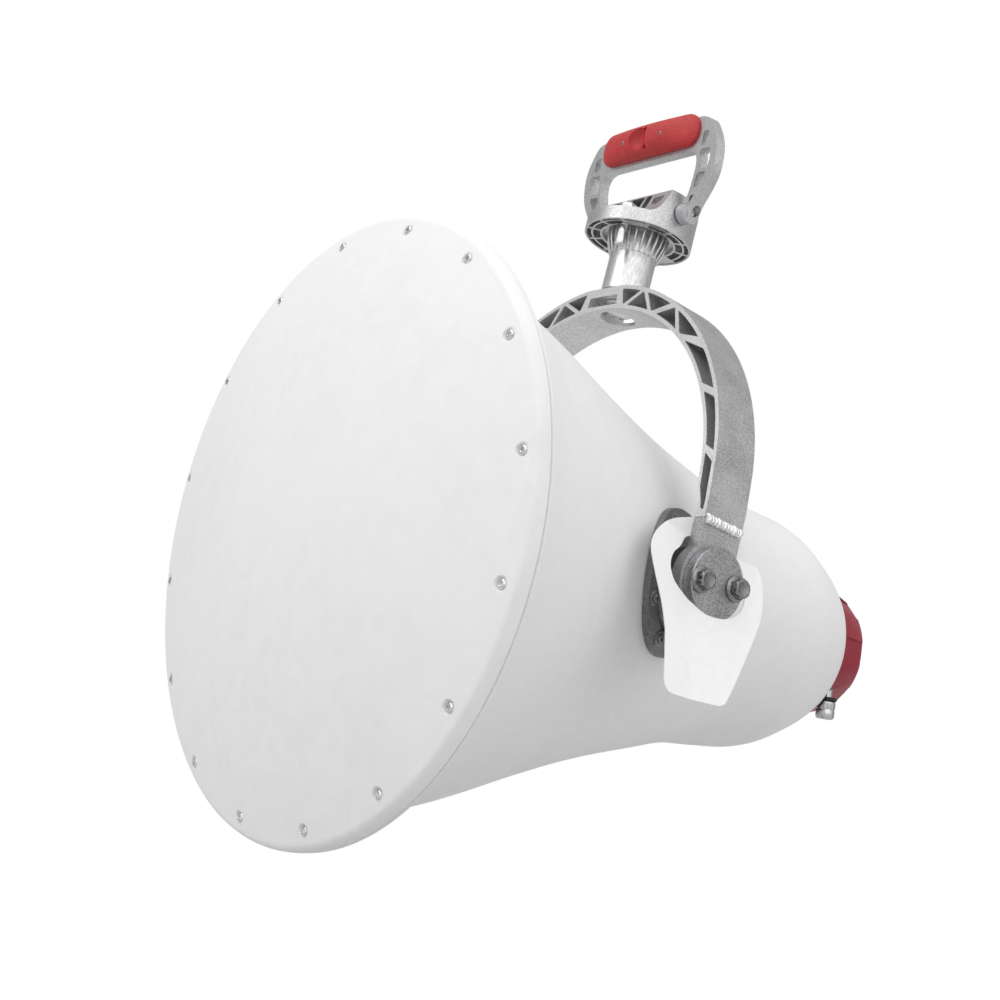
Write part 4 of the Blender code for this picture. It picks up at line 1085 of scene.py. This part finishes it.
# Trunnions: a saddle that hugs the bell, a stepped dish, a boss and a neck through the lug
trunnion = {
    "tilt": 20.5, "radius": 0.052, "skin": 0.0046, "dish": 0.0385, "boss": 0.0262, "neck": 0.0210,
    "screws": 8, "screwCircle": 0.0440, "pad": 0.0058,
}
disc = {"radius": 0.0250, "low": 0.1663, "high": 0.1740, "chamfer": 0.0007}
pivotBolt = {"offset": 0.0166, "flats": 0.0130, "flange": 0.0093, "low": 0.1742, "seat": 0.176, "high": 0.1820}


def bellSolid(grow):
    line = smoothLine(bell["line"], 4)
    rows = []
    for i, (y, r) in enumerate(line):
        before, after = Vector(line[max(i - 1, 0)]), Vector(line[min(i + 1, len(line) - 1)])
        along = (after - before).normalized()
        rows.append((r + grow * along.x, y - grow * along.y))
    return turned([(0, rows[0][1])] + rows + [(0, rows[-1][1])], 144)


for side, name in ((1, "Right"), (-1, "Left")):
    tilt = math.radians(trunnion["tilt"])
    axis = Vector((math.cos(tilt) * side, math.sin(tilt), 0))
    start = Vector((side * 0.1395, 0, 0)) - axis * 0.1395
    lean = Matrix.Translation(start) @ axis.to_track_quat("Z", "Y").to_matrix().to_4x4()
    toBell = at(0, -rest["pivotFromFlange"], 0) @ alongY
    saddle = newObject("saddle" + name, joined((turned([
        (0, 0.10), (trunnion["radius"], 0.10), (trunnion["radius"], 0.175), (0, 0.175),
    ], 96), lean)))
    cut(saddle, joined((bellSolid(trunnion["skin"]), toBell)), "INTERSECT")
    cut(saddle, joined((turned([
        (0, 0.130), (0.0385, 0.130), (0.0385, 0.1402), (0.0380, 0.1408), (0.0360, 0.1425), (0.0352, 0.1427), (0, 0.1427),
    ], 96), lean)), "UNION")
    cut(saddle, joined((turned([
        (0, 0.115), (0.0262, 0.115), (0.0250, 0.1555), (0.0245, 0.1567), (0.0210, 0.1567), (0.0210, 0.1660), (0, 0.1660),
    ], 96), alongX(side))), "UNION")
    cut(saddle, joined((bellSolid(0.0003), toBell)))
    softEdges(saddle, 0.0005, 2, 40)
    finishPiece(saddle, aboutPivot, [looks["trunnion"]], "horn", ["trunnion_flange_" + name.lower()])

    plate = newObject("clampDisc" + name, turned([
        (0, disc["low"]), (disc["radius"], disc["low"]), (disc["radius"], disc["high"] - disc["chamfer"]),
        (disc["radius"] - disc["chamfer"], disc["high"]), (0, disc["high"]),
    ], 96))
    finishPiece(plate, aboutPivot @ alongX(side), [looks["clamp"]], "horn", ["clamp_disc_" + name.lower()])

    for offset, spot in ((-pivotBolt["offset"], "Front"), (pivotBolt["offset"], "Rear")):
        flats = pivotBolt["flats"]
        hexPart = turned([
            (0, pivotBolt["seat"] - 0.0006), (flats * 0.58, pivotBolt["seat"] - 0.0006), (flats * 0.58, 0.1811),
            (flats * 0.50, 0.1818), (flats * 0.42, 0.1820), (flats * 0.36, 0.1816), (0, 0.1815),
        ], 72, flute=lambda radius, height, turn: min(radius, hexAt(flats, turn)))
        flangePart = turned([
            (0, pivotBolt["low"]), (0.0090, pivotBolt["low"]), (0.0093, pivotBolt["low"] + 0.0003), (0.0092, 0.1752),
            (0.0080, 0.1759), (0.0060, 0.1766), (0, 0.1766),
        ], 64)
        bolt = newObject("pivotBolt" + name + spot, joined((hexPart, Matrix()), (flangePart, Matrix())))
        place = aboutPivot @ at(0, offset, 0) @ alongX(side)
        nodeName = "pivot_bolt_" + name.lower() + "_" + spot.lower()
        finishPiece(bolt, place, [looks["bolt"]], "horn", [nodeName])

    # Eight button screws round the dish, each on a raised pad, sunk to the curve of the flank
    screwUnit = joined(
        (turned([
            (0, -0.0030), (trunnion["pad"], -0.0030), (trunnion["pad"] - 0.0002, 0.0004), (trunnion["pad"] - 0.0010, 0.0010),
            (0.0036, 0.0011), (0.0034, 0.0008), (0, 0.0008),
        ], 40), Matrix()),
        (socketScrew(0.0032, 0.0018, 0.0026), at(0, 0, 0.0009)),
    )
    surface = BVHTree.FromObject(saddle, bpy.context.evaluated_depsgraph_get())
    copies = []
    world = aboutPivot @ lean
    outward = (world.to_3x3() @ Vector((0, 0, 1))).normalized()
    for i in range(trunnion["screws"]):
        turn = 2 * math.pi * (i + 0.5) / trunnion["screws"]
        radius = trunnion["screwCircle"]
        above = world @ Vector((radius * math.cos(turn), radius * math.sin(turn), 0.20))
        spot, normal, index, distance = surface.ray_cast(above, -outward)
        if spot is None:
            continue
        facing = normal.to_track_quat("Z", "Y").to_matrix().to_4x4()
        copies.append((screwUnit, Matrix.Translation(spot) @ facing))
    ring = newObject("saddleScrews" + name, joined(*copies))
    finishPiece(ring, Matrix(), [looks["trunnion"]], "horn")
print("trunnions done")

# Tag: a thin looped card, hooked behind the right lug and bent outwards at the front
tag = {
    "thick": 0.0007,
    "loop": [
        (-0.021, 0.0412), (-0.040, 0.0335), (-0.052, 0.0255), (-0.063, 0.0155), (-0.069, 0.0040), (-0.066, -0.0100),
        (-0.058, -0.0310), (-0.0548, -0.0480),
    ],
    "foot": [
        (-0.0565, -0.0660), (-0.0586, -0.0800), (-0.0580, -0.0850), (-0.0540, -0.0880), (-0.0480, -0.0882),
        (-0.0230, -0.0856), (0.0020, -0.0828), (0.0078, -0.0800),
    ],
    "side": [
        (0.0150, -0.0700), (0.0283, -0.0484), (0.0423, -0.0247), (0.0510, -0.0070), (0.0548, 0.0130), (0.0520, 0.0256),
        (0.0430, 0.0335), (0.0210, 0.0412),
    ],
    "hole": [
        (0.0000, 0.0282), (-0.0205, 0.0277), (-0.0310, 0.0170), (-0.0400, 0.0095), (-0.0447, 0.0014), (-0.0440, -0.0060),
        (-0.0380, -0.0125), (-0.0190, -0.0199), (-0.0060, -0.0233), (0.0104, -0.0214), (0.0229, -0.0157),
        (0.0320, -0.0060), (0.0355, 0.0080), (0.0310, 0.0195), (0.0205, 0.0277),
    ],
}
card = flatPiece([
    smoothLine(tag["loop"], 6) + tag["foot"] + smoothLine(tag["side"], 6), smoothLine(tag["hole"], 5, cyclic=True),
], tag["thick"])
shape = bmesh.new()
shape.from_mesh(card)
bmesh.ops.triangulate(shape, faces=shape.faces)
for i in range(11):
    # Cuts across the card give it points to bend at
    for normal, spot in (((1, 0, 0), (-0.066 + 0.011 * i, 0, 0)), ((0, 1, 0), (0, -0.082 + 0.011 * i, 0))):
        bmesh.ops.bisect_plane(shape, geom=list(shape.verts) + list(shape.edges) + list(shape.faces),
                               plane_co=spot, plane_no=normal, dist=1e-7)
bmesh.ops.bisect_plane(shape, geom=list(shape.verts) + list(shape.edges) + list(shape.faces),
                       plane_co=(-0.024, 0, 0), plane_no=(1, 0, 0), dist=1e-7)
for vert in shape.verts:
    y, z, thick = vert.co
    fall = max(0.1746 - 0.371 * (z + 0.021), 0.1564)
    vert.co = (fall + 0.25 * max(0, -0.024 - y) + thick, y, z)
bmesh.ops.recalc_face_normals(shape, faces=shape.faces)
hangTag = newObject("hangTag", meshOf(shape, smoothAngle=30))
finishPiece(hangTag, onYoke, [looks["tag"]], "yoke", ["hang_tag"])
print("tag done")

# Floor, light and camera
room = {
    "floor": -0.625, "floorColour": (0.48, 0.48, 0.48), "floorGlow": 0.62, "white": 1.0, "sky": 1.42, "ground": 0.60,
    "keyPower": 20.0, "keySize": 1.3, "frontGloss": 1.35, "sideGloss": 0.35,
}
floorMesh = bpy.data.meshes.new("floor")
floorMesh.from_pydata([(-9, -9, 0), (9, -9, 0), (9, 9, 0), (-9, 9, 0)], [], [(0, 1, 2, 3)])
floor = newObject("floor", floorMesh)
floor.location = (0, 0, room["floor"])
floorLook = newLook("floorPaint", handlingMarks, {
    "Clean": room["floorColour"], "Marked": tuple(c - 0.01 for c in room["floorColour"]), "Gloss": 0.8, "Dullness": 0.9,
    "Size": 1.5,
}, bump=0.00001, Emission_Color=(1, 1, 1, 1))
floorMesh.materials.append(floorLook)
# The floor glows for the camera only, so that it merges with the white behind it
tree = floorLook.node_tree
seen = put(tree, "ShaderNodeLightPath").outputs["Is Camera Ray"]
tree.links.new(maths(tree, "MULTIPLY", seen, room["floorGlow"]), tree.nodes["Principled BSDF"].inputs["Emission Strength"])


def softBox(name, power, size, spot, aim):
    light = bpy.data.lights.new(name, "AREA")
    light.energy = power
    light.shape = "SQUARE"
    light.size = size
    lamp = bpy.data.objects.new(name, light)
    lamp.location = spot
    lamp.rotation_euler = (Vector(aim) - Vector(spot)).to_track_quat("-Z", "Y").to_euler()
    bpy.context.scene.collection.objects.link(lamp)


softBox("keyLight", room["keyPower"], room["keySize"], (-0.6, -2.2, 1.9), (0, 0, -0.28))

world = bpy.data.worlds.new("studio")
world.use_nodes = True
sky = world.node_tree
sky.nodes.clear()
spot = put(sky, "ShaderNodeSeparateXYZ", {0: put(sky, "ShaderNodeTexCoord").outputs["Generated"]})
level = put(sky, "ShaderNodeMapRange", {0: spot.outputs[2], 1: -0.5, 2: 0.9, 3: room["ground"], 4: room["sky"]})
rays = put(sky, "ShaderNodeLightPath")
# Metal mirrors a room that is bright behind the camera and darker to the sides
ahead = put(sky, "ShaderNodeVectorMath", {0: put(sky, "ShaderNodeTexCoord").outputs["Generated"],
                                         1: (0.8, -0.6, 0.0)}, operation="DOT_PRODUCT")
gloss = put(sky, "ShaderNodeMapRange", {
    0: ahead.outputs["Value"], 1: -0.3, 2: 0.95, 3: room["sideGloss"], 4: room["frontGloss"],
})
mirror = put(sky, "ShaderNodeMix", {0: rays.outputs["Is Glossy Ray"], 2: 1.0, 3: gloss.outputs[0]}, data_type="FLOAT")
lighting = put(sky, "ShaderNodeBackground", {"Strength": maths(sky, "MULTIPLY", level.outputs[0], mirror.outputs[0])})
backdrop = put(sky, "ShaderNodeBackground", {"Strength": room["white"]})
lighting.inputs["Color"].default_value = (1, 1, 1, 1)
backdrop.inputs["Color"].default_value = (1, 1, 1, 1)
mixed = put(sky, "ShaderNodeMixShader", {0: rays.outputs["Is Camera Ray"], 1: lighting.outputs[0], 2: backdrop.outputs[0]})
put(sky, "ShaderNodeOutputWorld", {"Surface": mixed.outputs[0]})
bpy.context.scene.world = world
bpy.context.scene.view_settings.view_transform = "Standard"

view = {
    "spot": (1.0102, -0.7715, -0.5414), "lens": 63.27,
    "right": (0.6221, 0.7432, 0.2462), "up": (0.0315, -0.338, 0.9406), "back": (0.7823, -0.5774, -0.2337),
}
lens = bpy.data.cameras.new("camera")
lens.lens = view["lens"]
lens.sensor_width = 36
camera = bpy.data.objects.new("camera", lens)
camera.matrix_world = Matrix.Translation(view["spot"]) @ Matrix([view["right"], view["up"], view["back"]]).transposed().to_4x4()
bpy.context.scene.collection.objects.link(camera)
bpy.context.scene.camera = camera
print("room done")
